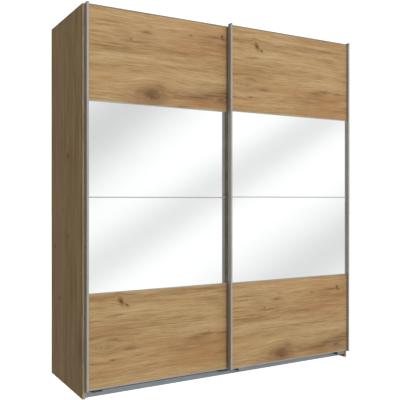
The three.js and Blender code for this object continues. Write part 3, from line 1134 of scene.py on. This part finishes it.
@dataclass
class Carcass:
    """The side, top and bottom panels, the partition, the back and their fittings."""

    finishes: Finishes
    body: str = "carcass"
    sheet_edge: float = 0.4 * MM
    joiner_web: float = 1.4 * MM
    joiner_gap: float = 0.1 * MM
    nail_pitch: float = 0.14
    nail_radius: float = 2.2 * MM
    nail_height: float = 0.5 * MM
    nail_end: float = 0.03
    nail_rise: float = 7 * MM
    cam_radius: float = 7.5 * MM
    cam_inset: float = 0.034
    cam_depth: float = 0.06
    foot_spread: float = 0.15

    def build(self) -> None:
        """Builds every board and fitting of the carcass."""
        f = self.finishes
        for side in Side:
            node = f"{side.value}_side_panel"
            # The side panels get the darker oak: painted shade.
            add_board(node, self.body, Axis.Z, Axis.X, f.side_oak, f.side_band)
        for node in ("top_panel", "bottom_panel"):
            add_board(node, self.body, Axis.X, Axis.Z, f.flat_oak, f.flat_band)
        add_board("centre_partition", self.body, Axis.Z, Axis.X, f.upright_oak, f.upright_oak)
        self.build_back()
        self.build_cams()
        self.build_foot()

    def build_back(self) -> None:
        """The two back sheets, the strip between them and the nails that hold them.

        The strip's section is an H, whose flanges grip both sheets.
        """
        f = self.finishes
        for side in Side:
            node = f"{side.value}_back_sheet"
            low, high = span(node)
            shell = softened_box(low, high, Axis.Z, self.sheet_edge)
            papers = [f.back_paper, f.raw_board]
            sheet = add_piece(f"{node}_board", [shell], self.body, papers, (node,))
            paint(sheet, Axis.Y, 1, way=1)
            self.build_nails(f"{side.value}_back_nails", low, high)
        low, high = span("back_joiner_strip")
        mid_x = (low[0] + high[0]) / 2
        flange = (high[0] - low[0]) / 2
        web = self.joiner_web / 2
        sheet_low, sheet_high = span("left_back_sheet")
        front = sheet_low[1] - self.joiner_gap
        back = sheet_high[1] + self.joiner_gap
        half = [
            (flange, low[1]),
            (flange, front),
            (web, front),
            (web, back),
            (flange, back),
            (flange, high[1]),
        ]
        outline = [(mid_x + x, y) for x, y in half] + [(mid_x - x, y) for x, y in reversed(half)]
        shell = carried(filleted(outline, 0.35 * MM), Axis.Z, low[2], high[2])
        replaced = ("back_joiner_strip",)
        add_piece("back_joiner_profile", [shell], self.body, [f.white], replaced)

    def build_nails(self, name: str, low: Array, high: Array) -> None:
        """Domed nail heads along a back sheet's top and bottom edges.

        A head's profile is a quarter of a flattened circle turned round the nail's axis.

        Args:
            name: the piece's name.
            low: the sheet's lowest corner.
            high: its highest corner.
        """
        turn = np.linspace(0.0, math.pi / 2 - 0.2, 4)
        profile = list(zip(self.nail_radius * np.cos(turn), self.nail_height * np.sin(turn)))
        count = int((high[0] - low[0]) / self.nail_pitch)
        places = np.linspace(low[0] + self.nail_end, high[0] - self.nail_end, count)
        rows = (low[2] + self.nail_rise, high[2] - self.nail_rise)
        shells = [
            turned(profile, np.array([x, high[1], z]), Axis.Y, 12) for x in places.tolist() for z in rows
        ]
        add_piece(name, shells, self.body, [self.finishes.zinc])

    def build_cams(self) -> None:
        """Cam locks let into the inner faces of the top and bottom panels, with a six-sided socket each."""
        shells = []
        inner = span("left_side_panel")[1][0], span("right_side_panel")[0][0]
        for node, top in (("top_panel", False), ("bottom_panel", True)):
            low, high = span(node)
            z = high[2] if top else low[2]
            way = 1 if top else -1
            for x in (inner[0] + self.cam_inset, inner[1] - self.cam_inset):
                for y in (low[1] + self.cam_depth, high[1] - self.cam_depth):
                    shells.append(self.cam(np.array([x, y, z]), way))
        add_piece("cam_locks", shells, self.body, [self.finishes.zinc])

    def cam(self, centre: Array, way: int) -> Shell:
        """One cam's flat disc: a low turned profile with a six-sided socket in its middle.

        Args:
            centre: the middle of the disc's foot.
            way: 1 if it faces up, -1 if it faces down.

        Returns:
            The shell.
        """
        rim = self.cam_radius
        profile = [
            (rim, 0),
            (rim, 0.25 * MM),
            (rim - 0.4 * MM, 0.5 * MM),
            (2.6 * MM, 0.5 * MM),
            (2.5 * MM, 0.1 * MM),
        ]
        return turned([(r, way * h) for r, h in profile], centre, Axis.Z, 24, flats=(3, 4))

    def build_foot(self) -> None:
        """Two screw feet under the partition, which keep the bottom panel from sagging."""
        low, high = span("bottom_panel")
        centre = np.array([0.0, (low[1] + high[1]) / 2, 0.0])
        top = low[2]
        profile = [
            (17 * MM, 0.6 * MM),
            (18 * MM, 1.4 * MM),
            (18 * MM, 3.2 * MM),
            (15 * MM, 4.4 * MM),
            (7 * MM, 5.0 * MM),
            (5 * MM, 5.6 * MM),
            (5 * MM, top),
        ]
        spread = np.array([0.0, self.foot_spread, 0.0])
        shells = [turned(profile, centre + way * spread, Axis.Z, 40) for way in (-1, 1)]
        add_piece("centre_feet", shells, self.body, [self.finishes.black])


@dataclass
class Inside:
    """One compartment's hat shelf and clothes rail."""

    finishes: Finishes
    side: Side
    body: str = "carcass"
    pin_inset: float = 0.05
    pin_drop: float = 5.1 * MM
    rail_wall: float = 1.2 * MM
    plate: float = 2 * MM
    plate_corner: float = 5 * MM
    cup_reach: float = 12 * MM
    cup_wall: float = 2.6 * MM
    cup_gap: float = 0.4 * MM
    cup_lip: float = 1 * MM
    screw_spread: float = 12.6 * MM
    screw_rise: float = 8 * MM

    def build(self) -> None:
        """Builds the shelf, its pins, the rail and its sockets."""
        f = self.finishes
        shelf = f"{self.side.value}_hat_shelf"
        add_board(shelf, self.body, Axis.X, Axis.Z, f.flat_oak, f.flat_band)
        self.build_pins(*span(shelf))
        self.build_rail()
        for end in Side:
            self.build_socket(end)

    def build_pins(self, low: Array, high: Array) -> None:
        """Four shelf pins: a round pin with a wider collar at the wall, right under the shelf.

        Args:
            low: the shelf's lowest corner.
            high: its highest corner.
        """
        shells = []
        profile = np.array([(5.0, 0.0), (5.0, 1.0), (4.6, 1.4), (2.5, 1.4), (2.5, 8.6), (2.1, 9.0)]) * MM
        for x, way in ((low[0], 1), (high[0], -1)):
            for y in (low[1] + self.pin_inset, high[1] - self.pin_inset):
                centre = np.array([x, y, low[2] - self.pin_drop])
                shells.append(turned([(r, way * h) for r, h in profile], centre, Axis.X, 20))
        add_piece(f"{self.side.value}_shelf_pins", shells, self.body, [self.finishes.zinc])

    def build_rail(self) -> None:
        """The oval tube: an outer and an inner oval (a cos t, b sin t) carried along x and joined."""
        node = f"{self.side.value}_clothes_rail"
        low, high = span(node)
        middle = (low + high) / 2
        t = np.linspace(0, 2 * math.pi, 64, endpoint=False)
        half = (high - low)[1:] / 2
        outer = middle[1:] + np.stack([half[0] * np.cos(t), half[1] * np.sin(t)], axis=1)
        hollow = half - self.rail_wall
        inner = middle[1:] + np.stack([hollow[0] * np.cos(t), hollow[1] * np.sin(t)], axis=1)
        rings = np.empty((4, len(t), 3))
        rings[:, :, 1:] = np.stack([outer, outer, inner, inner])
        rings[:, :, 0] = np.array([low[0], high[0], high[0], low[0]])[:, None]
        shell = loft(rings, closed=True)
        add_piece(f"{node}_tube", [shell], self.body, [self.finishes.chrome], (node,))

    def build_socket(self, end: Side) -> None:
        """A rail socket: a rounded plate on the wall, its two screws and an open-topped cup.

        The cup's section is a half ring with two upright walls.

        Args:
            end: the end of the rail.
        """
        node = f"{self.side.value}_rail_{end.value}_socket"
        low, high = span(node)
        tube_low, tube_high = span(f"{self.side.value}_clothes_rail")
        way = 1 if end is Side.LEFT else -1
        wall = low[0] if end is Side.LEFT else high[0]
        y = (tube_low[1] + tube_high[1]) / 2
        half = (tube_high[1] - tube_low[1]) / 2
        plate_face = wall + way * self.plate
        corners = [(low[1], low[2]), (high[1], low[2]), (high[1], high[2]), (low[1], high[2])]
        outline = filleted(corners, self.plate_corner, 6)
        plate = carried(outline, Axis.X, min(wall, plate_face), max(wall, plate_face))
        turn = np.linspace(math.pi, 2 * math.pi, 17)
        bottom = tube_low[2] + half - self.cup_gap
        top = tube_high[2] + self.cup_lip
        inner = half + self.cup_gap
        outer = inner + self.cup_wall
        outside = np.stack([y + outer * np.cos(turn), bottom + outer * np.sin(turn)], axis=1)
        inside = np.stack([y + inner * np.cos(turn[::-1]), bottom + inner * np.sin(turn[::-1])], axis=1)
        ends = np.array([[y - outer, top], [y + outer, top], [y + inner, top], [y - inner, top]])
        cup_outline = np.vstack([ends[:1], outside, ends[1:3], inside, ends[3:]])
        cup_end = wall + way * self.cup_reach
        cup = carried(cup_outline, Axis.X, min(plate_face, cup_end), max(plate_face, cup_end))
        black = [self.finishes.black]
        add_piece(f"{node}_moulding", [plate, cup], self.body, black, (node,), 0.3 * MM)
        height = low[2] + self.screw_rise
        screws = [
            socket_screw(np.array([plate_face, y + dy, height]), Axis.X, way, 2.6 * MM)
            for dy in (-self.screw_spread, self.screw_spread)
        ]
        add_piece(f"{node}_screws", screws, self.body, [self.finishes.zinc])


@dataclass
class Tracks:
    """The top track with its end stops and the bottom track with its fascia."""

    finishes: Finishes
    body: str = "carcass"
    base: float = 2.2 * MM
    apron: float = 2 * MM
    rib: float = 1.2 * MM
    rib_top: float = 0.6 * MM
    rib_slope: float = 0.8 * MM
    wall: float = 1.6 * MM
    groove: float = 12 * MM
    front_groove: float = 11.2 * MM
    ridge_count: int = 5
    ridge_depth: float = 0.5 * MM
    stop_gap: float = 0.2 * MM
    stop_head: float = 2.6 * MM

    def build(self) -> None:
        """Builds both tracks and the stops."""
        self.build_top()
        self.build_bottom()
        for track in ("rear", "front"):
            for end in Side:
                self.build_stop(f"{track}_track_{end.value}_stop")

    def build_top(self) -> None:
        """The top track's section: an apron, a base and two running ribs, with every corner rounded."""
        low, high = span("top_track")
        roof = span("top_panel")[1][2]
        base = roof + self.base
        shoulder = high[2] - self.rib_slope
        front = low[1]
        inner = front + self.apron
        section = [(front, low[2]), (front, base)]
        for middle in (self.middle("left_door_outer_wheel"), self.middle("right_door_outer_wheel")):
            section += [
                (middle - self.rib, base),
                (middle - self.rib, shoulder),
                (middle - self.rib_top, high[2]),
                (middle + self.rib_top, high[2]),
                (middle + self.rib, shoulder),
                (middle + self.rib, base),
            ]
        section += [(high[1], base), (high[1], roof), (inner, roof), (inner, low[2])]
        shell = carried(filleted(section, 0.5 * MM), Axis.X, low[0], high[0])
        metal = self.finishes.track_metal
        add_piece("top_track_profile", [shell], self.body, [metal], ("top_track",))

    def middle(self, node: str) -> float:
        """Where a node's middle lies from front to back."""
        low, high = span(node)
        return float((low[1] + high[1]) / 2)

    def build_bottom(self) -> None:
        """The bottom track: grooves behind a ridged fascia.

        The fascia's front stands back by depth * sin(pi * count * h)^2, h running from 0 to 1 up its face.
        """
        low, high = span("bottom_track")
        front, back = low[1], high[1]
        foot, top = low[2], high[2]
        groove = top - self.groove
        middle = front + self.front_groove
        half = self.wall / 2
        h = np.linspace(0, 1, 12 * self.ridge_count + 1)
        ridges = self.ridge_depth * np.sin(math.pi * self.ridge_count * h) ** 2
        face = np.stack([front + ridges, foot + h * (top - foot)], 1)
        rest = [
            (front + self.wall, top),
            (front + self.wall, groove),
            (middle - half, groove),
            (middle - half, top),
            (middle + half, top),
            (middle + half, groove),
            (back - self.wall, groove),
            (back - self.wall, top),
            (back, top),
            (back, groove - self.wall),
            (front + self.wall, groove - self.wall),
            (front + self.wall, foot),
        ]
        shell = carried(np.vstack([face, rest]), Axis.X, low[0], high[0])
        metal = self.finishes.track_metal
        add_piece("bottom_track_profile", [shell], self.body, [metal], ("bottom_track",))

    def build_stop(self, node: str) -> None:
        """A stop: a block that straddles its rib, with a clamping screw on top.

        Args:
            node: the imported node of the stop.
        """
        low, high = span(node)
        middle = (low[1] + high[1]) / 2
        slot = self.rib + self.stop_gap
        rib_top = span("top_track")[1][2] + self.stop_gap
        roof = high[2] - self.stop_head
        section = [
            (low[1], low[2]),
            (middle - slot, low[2]),
            (middle - slot, rib_top),
            (middle + slot, rib_top),
            (middle + slot, low[2]),
            (high[1], low[2]),
            (high[1], roof),
            (low[1], roof),
        ]
        shell = carried(filleted(section, 0.9 * MM), Axis.X, low[0], high[0])
        black = [self.finishes.black]
        add_piece(f"{node}_block", [shell], self.body, black, (node,), 0.4 * MM)
        foot = np.array([(low[0] + high[0]) / 2, middle, roof])
        screw = socket_screw(foot, Axis.Z, 1, 3.2 * MM)
        add_piece(f"{node}_screw", [screw], self.body, [self.finishes.zinc])


@dataclass
class Door:
    """One door: four fields in aluminium profiles, hung on two wheels and led by two guides."""

    finishes: Finishes
    side: Side
    panel_inset: float = 2.5 * MM
    panel: float = 10 * MM
    foot_cap: float = 2 * MM
    head_cap: float = 5 * MM
    visible_edge: float = 5 * MM
    fillet: float = 0.8 * MM
    seat_gap: float = 0.2 * MM
    seat_wall: float = 2 * MM
    hairline: float = 0.5 * MM
    hairlines: tuple[float, ...] = (14.5 * MM, 24.5 * MM)
    pile_inset: float = 3.5 * MM
    pile_back: float = 7 * MM
    pile_end: float = 12 * MM
    pile_gap: float = 1.5 * MM
    lip: float = 1.2 * MM
    web: float = 1.5 * MM
    bar_lip: float = 1 * MM
    bar_half: float = 2.5 * MM
    bar_rear_half: float = 6 * MM
    hanger_plate: float = 1.3 * MM
    hanger_sheet: float = 1.9 * MM

    @property
    def body(self) -> str:
        """The body that the door's pieces ride on."""
        return f"{self.side.value}_door"

    def node(self, piece: str) -> str:
        """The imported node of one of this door's pieces."""
        return f"{self.side.value}_door_{piece}"

    @property
    def rear(self) -> float:
        """Where the door's own rear plane lies."""
        return float(span(self.node("outer_stile"))[1][1])

    def build(self) -> None:
        """Builds the fields, the profiles and the running gear."""
        self.build_fields()
        for end in ("outer", "inner"):
            self.build_stile(end)
            self.build_hanger(end)
            self.build_wheel(end)
            self.build_guide(end)
        self.build_rails()
        if self.side is Side.RIGHT:
            self.build_shade_pile()

    def decor(self, level: Level) -> OakDecor:
        """The decor of one oak field; the two doors wear the same two sheets, one above and one below.

        Args:
            level: the foot or the head field.

        Returns:
            The decor, placed on that field.
        """
        low = span(self.node(level.value))[0]
        first = (self.side is Side.LEFT) == (level is Level.HEAD)
        lift = {
            (Side.LEFT, Level.HEAD): 0.0,
            (Side.RIGHT, Level.FOOT): -0.012,
            (Side.RIGHT, Level.HEAD): 0.0,
            (Side.LEFT, Level.FOOT): 0.049,
        }[self.side, level]
        return OakDecor(
            f"oak_{self.side.value}_{level.value}",
            Axis.X,
            Axis.Z,
            (float(low[0]) - 3 * MM, float(low[2]) - 2 * MM + lift),
            11.0 if first else 23.0,
            DECOR_A_KNOTS if first else DECOR_B_KNOTS,
            DECOR_A_TINTS if first else DECOR_B_TINTS,
        )

    def build_fields(self) -> None:
        """Oak boards at the foot and head; between them mirrors with a ground edge, on backing boards."""
        f = self.finishes
        for level in (Level.FOOT, Level.HEAD):
            node = self.node(level.value)
            decor = self.decor(level).material()
            add_board(node, self.body, Axis.X, Axis.Y, decor, f.flat_band, 0.5 * MM)
        for level in (Level.LOW_MIRROR, Level.HIGH_MIRROR):
            node = self.node(level.value)
            low, high = span(node)
            shell = softened_box(low, high, Axis.X, 0.7 * MM, 2)
            finishes = [f.mirror, f.glass_edge]
            glass = add_piece(f"{node}_glass", [shell], self.body, finishes, (node,))
            paint(glass, Axis.Y, 1, across=True)
            paint(glass, Axis.Y, 1, way=1)
            backing = f"{node}_backing"
            low, high = span(backing)
            shell = softened_box(low, high, Axis.X, 0.4 * MM, 1)
            add_piece(f"{backing}_board", [shell], self.body, [f.raw_board], (backing,))

    def build_stile(self, end: str) -> None:
        """A stile: its section, with two hairline grooves in its flank, carried upwards between two caps.

        Args:
            end: which of the door's stiles, outer or inner.
        """
        node = self.node(f"{end}_stile")
        low, high = span(node)
        leftmost = low[0] < span(self.node("bottom_panel"))[0][0]
        way = 1 if leftmost else -1
        edge = low[0] if leftmost else high[0]
        face = high[0] - low[0]
        depth = high[1] - low[1]
        seat = self.panel_inset + self.panel + self.seat_gap
        flank = [(0, 0)]
        for v in self.hairlines:
            flank += [(0, v - self.hairline), (self.hairline, v), (0, v + self.hairline)]
        section = flank + [
            (0, depth),
            (face, depth),
            (face, seat),
            (self.seat_wall, seat),
            (self.seat_wall, self.panel_inset),
            (face, self.panel_inset),
            (face, 0),
        ]
        outline = filleted([(edge + way * u, high[1] - v) for u, v in section], self.fillet)
        bar = carried(outline, Axis.Z, low[2] + self.foot_cap, high[2] - self.head_cap)
        metals = [self.finishes.upright_metal, self.finishes.flank_metal]
        piece = add_piece(f"{node}_bar", [bar], self.body, metals, (node,))
        # The flank faces, looking along x, get the darker aluminium: painted shade.
        paint(piece, Axis.X, 1)
        caps = {"foot": (low[2], low[2] + self.foot_cap), "head": (high[2] - self.head_cap, high[2])}
        for place, (bottom, top) in caps.items():
            cap_low = np.array([low[0], low[1], bottom])
            cap_high = np.array([high[0], high[1], top])
            shell = softened_box(cap_low, cap_high, Axis.Z, 0.9 * MM)
            add_piece(f"{node}_{place}_cap", [shell], self.body, [self.finishes.black])

    def build_shade_pile(self) -> None:
        """A grey pile strip behind the front door's overlapping stile, closing the gap between the doors. It
        stands where that gap lies in shade, so its grey is painted shade.

        Its section is a small back strip and a tuft that narrows to a rounded tip, carried upwards.
        """
        low, high = span(self.node("inner_stile"))
        start = low[0] + self.pile_inset
        end = start + self.pile_back
        foot = high[1] + 1.4 * MM
        tip = span("left_door_bottom_panel")[0][1] - self.pile_gap
        section = [
            (start, high[1] - 0.4 * MM),
            (end, high[1] - 0.4 * MM),
            (end, high[1] + 1.2 * MM),
            (end - 1.5 * MM, foot),
            (end - 2.5 * MM, tip),
            (start + 0.6 * MM, tip),
            (start, foot),
        ]
        outline = filleted(section, 0.6 * MM)
        shell = carried(outline, Axis.Z, low[2] + self.pile_end, high[2] - self.pile_end)
        # A grey strip in the shaded gap between the doors: painted shade.
        add_piece(f"{self.body}_pile_strip_painted_shade", [shell], self.body, [self.finishes.pile])

    def build_rails(self) -> None:
        """The head, foot and cross profiles, each a rounded section carried along the door."""
        lip = self.lip
        web = self.web
        back = self.panel_inset
        front = self.panel_inset + self.panel
        edge = self.visible_edge
        for piece, way in (("bottom_rail", 1), ("top_rail", -1)):
            low, high = span(self.node(piece))
            start = low[2] if way > 0 else high[2]
            tall = (high[2] - low[2]) * way
            section = [
                (back - lip, 0),
                (back - lip, tall),
                (back, tall),
                (back, web * way),
                (front, web * way),
                (front, edge * way),
                (front + lip, edge * way),
                (front + lip, 0),
            ]
            if way < 0:
                section = [(back, 0), *section[3:]]
            self.add_rail(piece, section, start)
        for piece in ("lower_cross_bar", "middle_cross_bar", "upper_cross_bar"):
            low, high = span(self.node(piece))
            middle = (low[2] + high[2]) / 2
            half = [
                (front + self.bar_lip, -self.bar_half),
                (front, -self.bar_half),
                (front, -web / 2),
                (back, -web / 2),
                (back, -self.bar_rear_half),
                (back - self.bar_lip, -self.bar_rear_half),
            ]
            section = half + [(v, -h) for v, h in reversed(half)]
            self.add_rail(piece, section, middle)

    def add_rail(self, piece: str, section: list[tuple[float, float]], height: float) -> None:
        """Carries a section along the door as one of its level profiles.

        Args:
            piece: which profile.
            section: pairs of a depth from the door's rear plane and a height.
            height: the level that heights are counted from.
        """
        node = self.node(piece)
        low, high = span(node)
        outline = filleted([(self.rear - v, height + h) for v, h in section], 0.35 * MM, 2)
        shell = carried(outline, Axis.X, low[0], high[0])
        metals = [self.finishes.level_metal, self.finishes.head_metal]
        profile = add_piece(f"{node}_profile", [shell], self.body, metals, (node,))
        if piece == "top_rail":
            paint(profile, Axis.Y, 1)

    def build_hanger(self, end: str) -> None:
        """A hanger of bent sheet: up the door's back, over towards the track and down to the axle.

        Args:
            end: which of the door's hangers, outer or inner.
        """
        f = self.finishes
        node = self.node(f"{end}_hanger")
        low, high = span(node)
        wheel_low, wheel_high = span(self.node(f"{end}_wheel"))
        wheel = (wheel_low + wheel_high) / 2
        x = wheel[0]
        leg = wheel[1] - 5 * MM
        front = low[1] + self.hanger_plate / 2
        arm = high[2] - 1 * MM
        corners = [(front, low[2]), (front, arm), (leg, arm), (leg, wheel[2] - 7 * MM)]
        path = bent_path(corners, 2.2 * MM)
        back = (path[:, 0] - front) / (leg - front)
        widths = np.interp(back, [0, 0.55, 1], [56 * MM, 56 * MM, 36 * MM])
        thick = np.interp(back, [0, 0.3], [self.hanger_plate, self.hanger_sheet])
        strip = ribbon(path, thick[:, None], widths, x)
        axle = np.array([(2.9, -11), (2.9, 5), (5, 5), (5, 6), (4.2, 6.5)]) * MM
        pin = turned(axle, wheel, Axis.Y, 32)
        add_piece(f"{node}_bracket", [strip, pin], self.body, [f.zinc], (node,), 0.25 * MM)
        plate_back = low[1] + self.hanger_plate
        screws = [
            socket_screw(np.array([x + dx, plate_back, low[2] + dz]), Axis.Y, 1, 3.4 * MM)
            for dx in (-18 * MM, 18 * MM)
            for dz in (12 * MM, 40 * MM)
        ]
        add_piece(f"{node}_screws", screws, self.body, [f.zinc])

    def build_wheel(self, end: str) -> None:
        """A wheel: a running groove between two rims, with a raised hub, turned round its bore.

        Args:
            end: which of the door's wheels, outer or inner.
        """
        node = self.node(f"{end}_wheel")
        low, high = span(node)
        centre = (low + high) / 2
        half = (high[1] - low[1]) / 2
        rim = (high[0] - low[0]) / 2
        run = rim - 2 * MM
        bore = 3.1 * MM
        flank = [
            (bore, half),
            (5.2 * MM, half),
            (5.6 * MM, half - 1.2 * MM),
            (8.0 * MM, half - 1.2 * MM),
            (8.6 * MM, half - 0.2 * MM),
            (rim - 0.6 * MM, half),
            (rim - 0.15 * MM, half - 0.2 * MM),
            (rim, half - 0.6 * MM),
            (rim, 2.5 * MM),
            (rim - 0.3 * MM, 2.2 * MM),
            (run, 1.6 * MM),
        ]
        profile = flank + [(r, -h) for r, h in reversed(flank)]
        shell = turned(profile, centre, Axis.Y, 64, closed=True)
        body = f"{node}_body"
        add_piece(f"{node}_tyre", [shell], body, [self.finishes.grey], (node,))

    def build_guide(self, end: str) -> None:
        """A guide: a foot under the door, an arm back to the track and a tongue down into its groove.

        Args:
            end: which of the door's guides, outer or inner.
        """
        node = self.node(f"{end}_guide")
        low, high = span(node)
        black = self.side is Side.LEFT
        arm_low = low[2] + (14 if black else 10) * MM
        arm_high = arm_low + (3 if black else 2.5) * MM
        rear = self.rear
        section = [
            (rear - 14 * MM, arm_low),
            (rear - 14 * MM, high[2]),
            (rear - 1 * MM, high[2]),
            (rear - 1 * MM, arm_high),
            (high[1], arm_high),
            (high[1], low[2]),
            (high[1] - 6 * MM, low[2]),
            (high[1] - 6 * MM, arm_low),
        ]
        shell = carried(filleted(section, 0.8 * MM), Axis.X, low[0], high[0])
        finish = self.finishes.black if black else self.finishes.grey
        add_piece(f"{node}_shoe", [shell], self.body, [finish], (node,), 0.4 * MM)


# ---- Studio --------------------------------------------------------------------------------


Lamp = tuple[str, float, float, tuple[float, float, float], tuple[float, float, float]]


@dataclass(frozen=True)
class Band:
    """One soft grey band of the card: its slant, its height across the slant, its width and its depth."""

    slant: float
    centre: float
    width: float
    depth: float


@dataclass
class Studio:
    """A white floor and surround, soft light from the front and above, and the camera."""

    eye: tuple[float, float, float] = (-1.8174, -3.0961, 0.9793)
    turn: float = math.radians(29.70)
    lens: float = 54.41
    floor_radius: float = 40.0
    floor_points: int = 96
    bright_way: tuple[float, float, float] = (0.45, -0.85, 0.15)
    fade_ends: tuple[float, float] = (-0.5, 0.55)
    dim_side: float = 0.42
    bright_side: float = 1.05
    seen_white: float = 1.1
    matt_share: float = 0.5
    card: tuple[tuple[float, float], tuple[float, float]] = ((-1.2, -3.0), (5.0, 5.0))
    card_y: float = -1.9
    card_pivot: float = 0.9
    card_glow: float = 1.075
    bands: tuple[Band, ...] = (
        Band(math.radians(39), 1.86, 0.34, 0.39),
        Band(math.radians(29.5), 0.949, 0.216, 0.245),
        Band(math.radians(27), -0.14, 0.40, 0.32),
    )
    lamps: tuple[Lamp, ...] = (
        ("key", 3.0, 295.0, (0.2, -8.0, 2.4), (0.0, 0.0, 1.0)),
        ("overhead", 6.0, 90.0, (0.0, -0.5, 5.5), (0.0, -0.5, 0.0)),
    )

    def build(self) -> None:
        """Builds the floor, the light and the camera."""
        self.build_floor()
        self.build_surround()
        self.build_card()
        self.build_lights()
        self.build_camera()
        bpy.context.scene.view_settings.view_transform = "Standard"

    def build_floor(self) -> None:
        """A plain pale disc, its points at radius * (cos t, sin t)."""
        count = self.floor_points
        t = np.linspace(0, 2 * math.pi, count, endpoint=False)
        ring = self.floor_radius * np.stack([np.cos(t), np.sin(t), np.zeros(count)], axis=1)
        mesh = bpy.data.meshes.new("floor")
        mesh.from_pydata(ring.tolist(), [], [list(range(count))])
        floor = bpy.data.objects.new("floor", mesh)
        n = Nodes("floor_paint")
        mottle = n.stretched((3.0, 3.0, 3.0), 1.0)
        colour = n.blend(n.between(mottle, 0.3, 0.7), (0.86, 0.86, 0.86), (0.88, 0.88, 0.88))
        mesh.materials.append(
            n.surface(colour, Roughness=0.9, Emission_Color=(1.0, 1.0, 1.0), Emission_Strength=0.9)
        )
        bpy.context.scene.collection.objects.link(floor)
        floor.visible_diffuse = False
        floor.visible_glossy = False

    def build_surround(self) -> None:
        """The world: white to the eye, dimmer towards the left and back for what it lights or is mirrored in.

        Its brightness is a soft step on the dot product of the direction looked in and the bright way; on
        matt surfaces it counts only in part, because the lamps do the rest.
        """
        world = bpy.data.worlds.new("surround")
        bpy.context.scene.world = world
        world.use_nodes = True
        tree = world.node_tree
        tree.nodes.clear()
        where = tree.nodes.new("ShaderNodeTexCoord")
        lean = tree.nodes.new("ShaderNodeVectorMath")
        lean.operation = "DOT_PRODUCT"
        lean.inputs[1].default_value = self.bright_way
        fade = tree.nodes.new("ShaderNodeMapRange")
        fade.interpolation_type = "SMOOTHSTEP"
        for socket, value in zip(fade.inputs[1:5], (*self.fade_ends, self.dim_side, self.bright_side)):
            socket.default_value = value
        path = tree.nodes.new("ShaderNodeLightPath")
        matt = tree.nodes.new("ShaderNodeMix")
        part = tree.nodes.new("ShaderNodeMath")
        part.operation = "MULTIPLY"
        part.inputs[1].default_value = self.matt_share
        seen = tree.nodes.new("ShaderNodeMix")
        seen.inputs[3].default_value = self.seen_white
        glow = tree.nodes.new("ShaderNodeBackground")
        glow.inputs["Color"].default_value = (1.0, 1.0, 1.0, 1.0)
        end = tree.nodes.new("ShaderNodeOutputWorld")
        for source, target in (
            (where.outputs["Generated"], lean.inputs[0]),
            (lean.outputs["Value"], fade.inputs[0]),
            (fade.outputs[0], part.inputs[0]),
            (path.outputs["Is Diffuse Ray"], matt.inputs[0]),
            (fade.outputs[0], matt.inputs[2]),
            (part.outputs[0], matt.inputs[3]),
            (path.outputs["Is Camera Ray"], seen.inputs[0]),
            (matt.outputs[0], seen.inputs[2]),
            (seen.outputs[0], glow.inputs["Strength"]),
            (glow.outputs[0], end.inputs[0]),
        ):
            tree.links.new(source, target)

    def build_card(self) -> None:
        """A bright card in front of the doors that only shiny surfaces see, with soft slanting grey bands.

        A band dims the card by depth * exp(-((q - centre) / width)^2), q being the height across the slant.
        """
        low, high = self.card
        corners = [(low[0], self.card_y, low[1]), (high[0], self.card_y, low[1])]
        corners += [(high[0], self.card_y, high[1]), (low[0], self.card_y, high[1])]
        mesh = bpy.data.meshes.new("card")
        mesh.from_pydata(corners, [], [(0, 1, 2, 3)])
        card = bpy.data.objects.new("card", mesh)
        n = Nodes("card_light")
        x, _, z = n.place()
        glow: Value = self.card_glow
        for band in self.bands:
            sine, cosine = math.sin(band.slant), math.cos(band.slant)
            run = n.math("MULTIPLY", n.math("SUBTRACT", x, self.card_pivot), -sine)
            q = n.math("ADD", run, n.math("MULTIPLY", z, cosine))
            reach = n.math("DIVIDE", n.math("SUBTRACT", q, band.centre), band.width)
            fade = n.math("EXPONENT", n.math("MULTIPLY", n.math("MULTIPLY", reach, reach), -1.0))
            glow = n.math("SUBTRACT", glow, n.math("MULTIPLY", fade, band.depth))
        black = (0.0, 0.0, 0.0)
        mesh.materials.append(
            n.surface(black, Emission_Color=(1.0, 1.0, 1.0), Emission_Strength=glow, Specular_IOR_Level=0.0)
        )
        bpy.context.scene.collection.objects.link(card)
        card.visible_camera = False
        card.visible_diffuse = False
        card.visible_shadow = False
        card.visible_transmission = False

    def build_lights(self) -> None:
        """A soft key almost straight from the front and a wide panel overhead, both unseen in reflections."""
        for name, size, power, place, aim in self.lamps:
            lamp = bpy.data.lights.new(name, "AREA")
            lamp.size = size
            lamp.energy = power
            lamp_object = bpy.data.objects.new(name, lamp)
            lamp_object.location = place
            lamp_object.rotation_euler = self.facing(np.array(aim) - np.array(place))
            lamp_object.visible_glossy = False
            lamp_object.visible_camera = False
            bpy.context.scene.collection.objects.link(lamp_object)

    def facing(self, direction: Array) -> tuple[float, float, float]:
        """The turn that points an object's -Z along a direction."""
        flat = math.hypot(direction[0], direction[1])
        return (math.atan2(flat, -direction[2]), 0.0, math.atan2(-direction[0], direction[1]))

    def build_camera(self) -> None:
        """A level camera at eye height, turned to the right."""
        data = bpy.data.cameras.new("camera")
        data.lens = self.lens
        data.sensor_width = 36.0
        camera = bpy.data.objects.new("camera", data)
        camera.location = self.eye
        camera.rotation_euler = (math.pi / 2, 0.0, -self.turn)
        bpy.context.scene.collection.objects.link(camera)
        bpy.context.scene.camera = camera


def main() -> None:
    """Builds the wardrobe's sub-assemblies in order, then the studio round them."""
    logging.basicConfig(level=logging.INFO, format="%(message)s")
    finishes = Finishes.make()
    Carcass(finishes).build()
    for side in Side:
        Inside(finishes, side).build()
    Tracks(finishes).build()
    for side in Side:
        Door(finishes, side).build()
    Studio().build()


if __name__ == "__main__":
    main()
